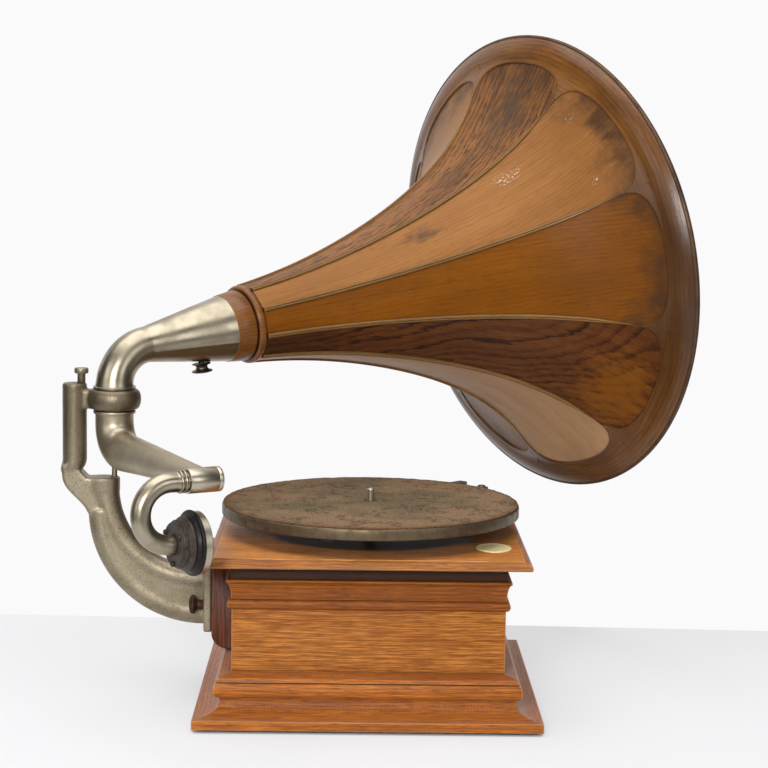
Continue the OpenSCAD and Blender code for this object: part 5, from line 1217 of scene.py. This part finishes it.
# Moths have eaten the nap off in scraps, each with a dark torn edge.
scrap = add(tree, "TexNoise", {"Vector": in_mm, "Scale": 1 / scrap_size, "Detail": 8.0, "Roughness": 0.62})
torn = add(tree, "MapRange", {"Value": scrap, "From Min": 0.56, "From Max": 0.575})
healed = add(tree, "MapRange", {"Value": scrap, "From Min": 0.62, "From Max": 0.575, "To Max": 0.75})
lip = add(tree, "Math", {0: torn, 1: healed}, operation="MULTIPLY")
shade = add(tree, "Mix", {"Factor": lip, "A": shade, "B": colour("#2c2118")}, data_type="RGBA")
fringe = add(tree, "MapRange", {"Value": off_axis.outputs["Value"], "From Min": felt_out - fringe_wide,
                                "From Max": felt_out, "To Max": 0.7})
shade = add(tree, "Mix", {"Factor": fringe, "A": shade, "B": colour("#5f3a26")}, data_type="RGBA")
pile = add(tree, "Math", {0: torn, 1: -0.6, 2: tuft}, operation="MULTIPLY_ADD")
bump = add(tree, "Bump", {"Strength": 1.0, "Distance": 1.2 * MM, "Height": pile})
surface = add(tree, "BsdfPrincipled", {
    "Base Color": shade, "Roughness": 0.95, "Normal": bump, "Specular IOR Level": 0.1, "Sheen Weight": 0.13,
    "Sheen Roughness": 0.5, "Sheen Tint": colour("#d9c2a3")})
add(tree, "OutputMaterial", {"Surface": surface})
piece("felt_disc", "turntable", ["turntable_felt"], v, f, felt, sharp=180)

paint(bright_nickel, "turntable_spindle")

# Motor: a spring motor of japanned iron plates on four tie bolts, with brass wheels and oiled steel springs.
# It hangs under the deck out of sight, and keeps its CAD shape.
# Oiled brass: a deep yellow, brown in its oil film.
gear_brass = metal("machined_brass_oiled", "#b8974c", "#80642a", 0.3, stain_amount=0.5, stain_size=9)
# Baked black varnish on iron: a thick green black with a wet shine.
japan = metal("cast_iron_japanned", "#33393a", "#20211f", 0.35, stain_amount=0.6, stain_size=20, metallic=0.3,
              coat=0.3)
# Spring steel: blue grey under brown oil.
oiled = metal("spring_steel_oiled", "#5a5c62", "#3a3430", 0.3, stain_amount=0.6, stain_size=9)
paint(japan, "motor_bedplate", "motor_lower_plate")
paint(worn_steel, "motor_pillars", "spring_barrel")
paint(oiled, "mainspring", "governor_shaft")
paint(gear_brass, "spindle_gears", "intermediate_gears", "winding_arbor", "governor_weights")

# Crank: a bent steel winding handle through a brass escutcheon in the far wall, with a turned wooden grip.
# The grip spins on its pin.
paint(gear_brass, "crank_escutcheon")
paint(worn_steel, "crank_shaft")
grip_low, grip_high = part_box("crank_grip")
grip_mid = middle_of("crank_grip")
grip_from, grip_to = grip_low[1] / MM, grip_high[1] / MM
grip_place = Matrix.Translation((grip_mid.x, grip_from, grip_mid.z)) @ Matrix.Rotation(-pi / 2, 4, "X")
grip_l = grip_to - grip_from
grip_line = [(4.5, 0), (7.4, 0), (8.2, 0.8), (8.4, 2.4), (7.8, 3.4), (8.6, 6), (10.2, grip_l * 0.35),
             (11, grip_l * 0.6), (10.8, grip_l * 0.8), (9.6, grip_l * 0.93), (8.2, grip_l - 0.6), (7, grip_l),
             (4.5, grip_l)]
# Beech stained nearly black: smooth, with its fine grain just showing where hands have polished it.
grip_wood = wood("turned_beech_ebonised", "#5a3620", "#3a2012", "#26130a", wander=2, rough=0.3, shift=63.0)
v, f, u = lathe(grip_line + grip_line[:1], grip_place, 56)
piece("crank_grip_turned", "grip", ["crank_grip"], v, f, grip_wood, u)

# Brake: a steel lever with a pad on its end, pivoted on a small post that is screwed to the deck behind the platter.
# The pad presses on the platter's rim. Both keep their CAD shape, in plain dulled steel.
paint(worn_steel, "brake_bracket", "brake_lever")
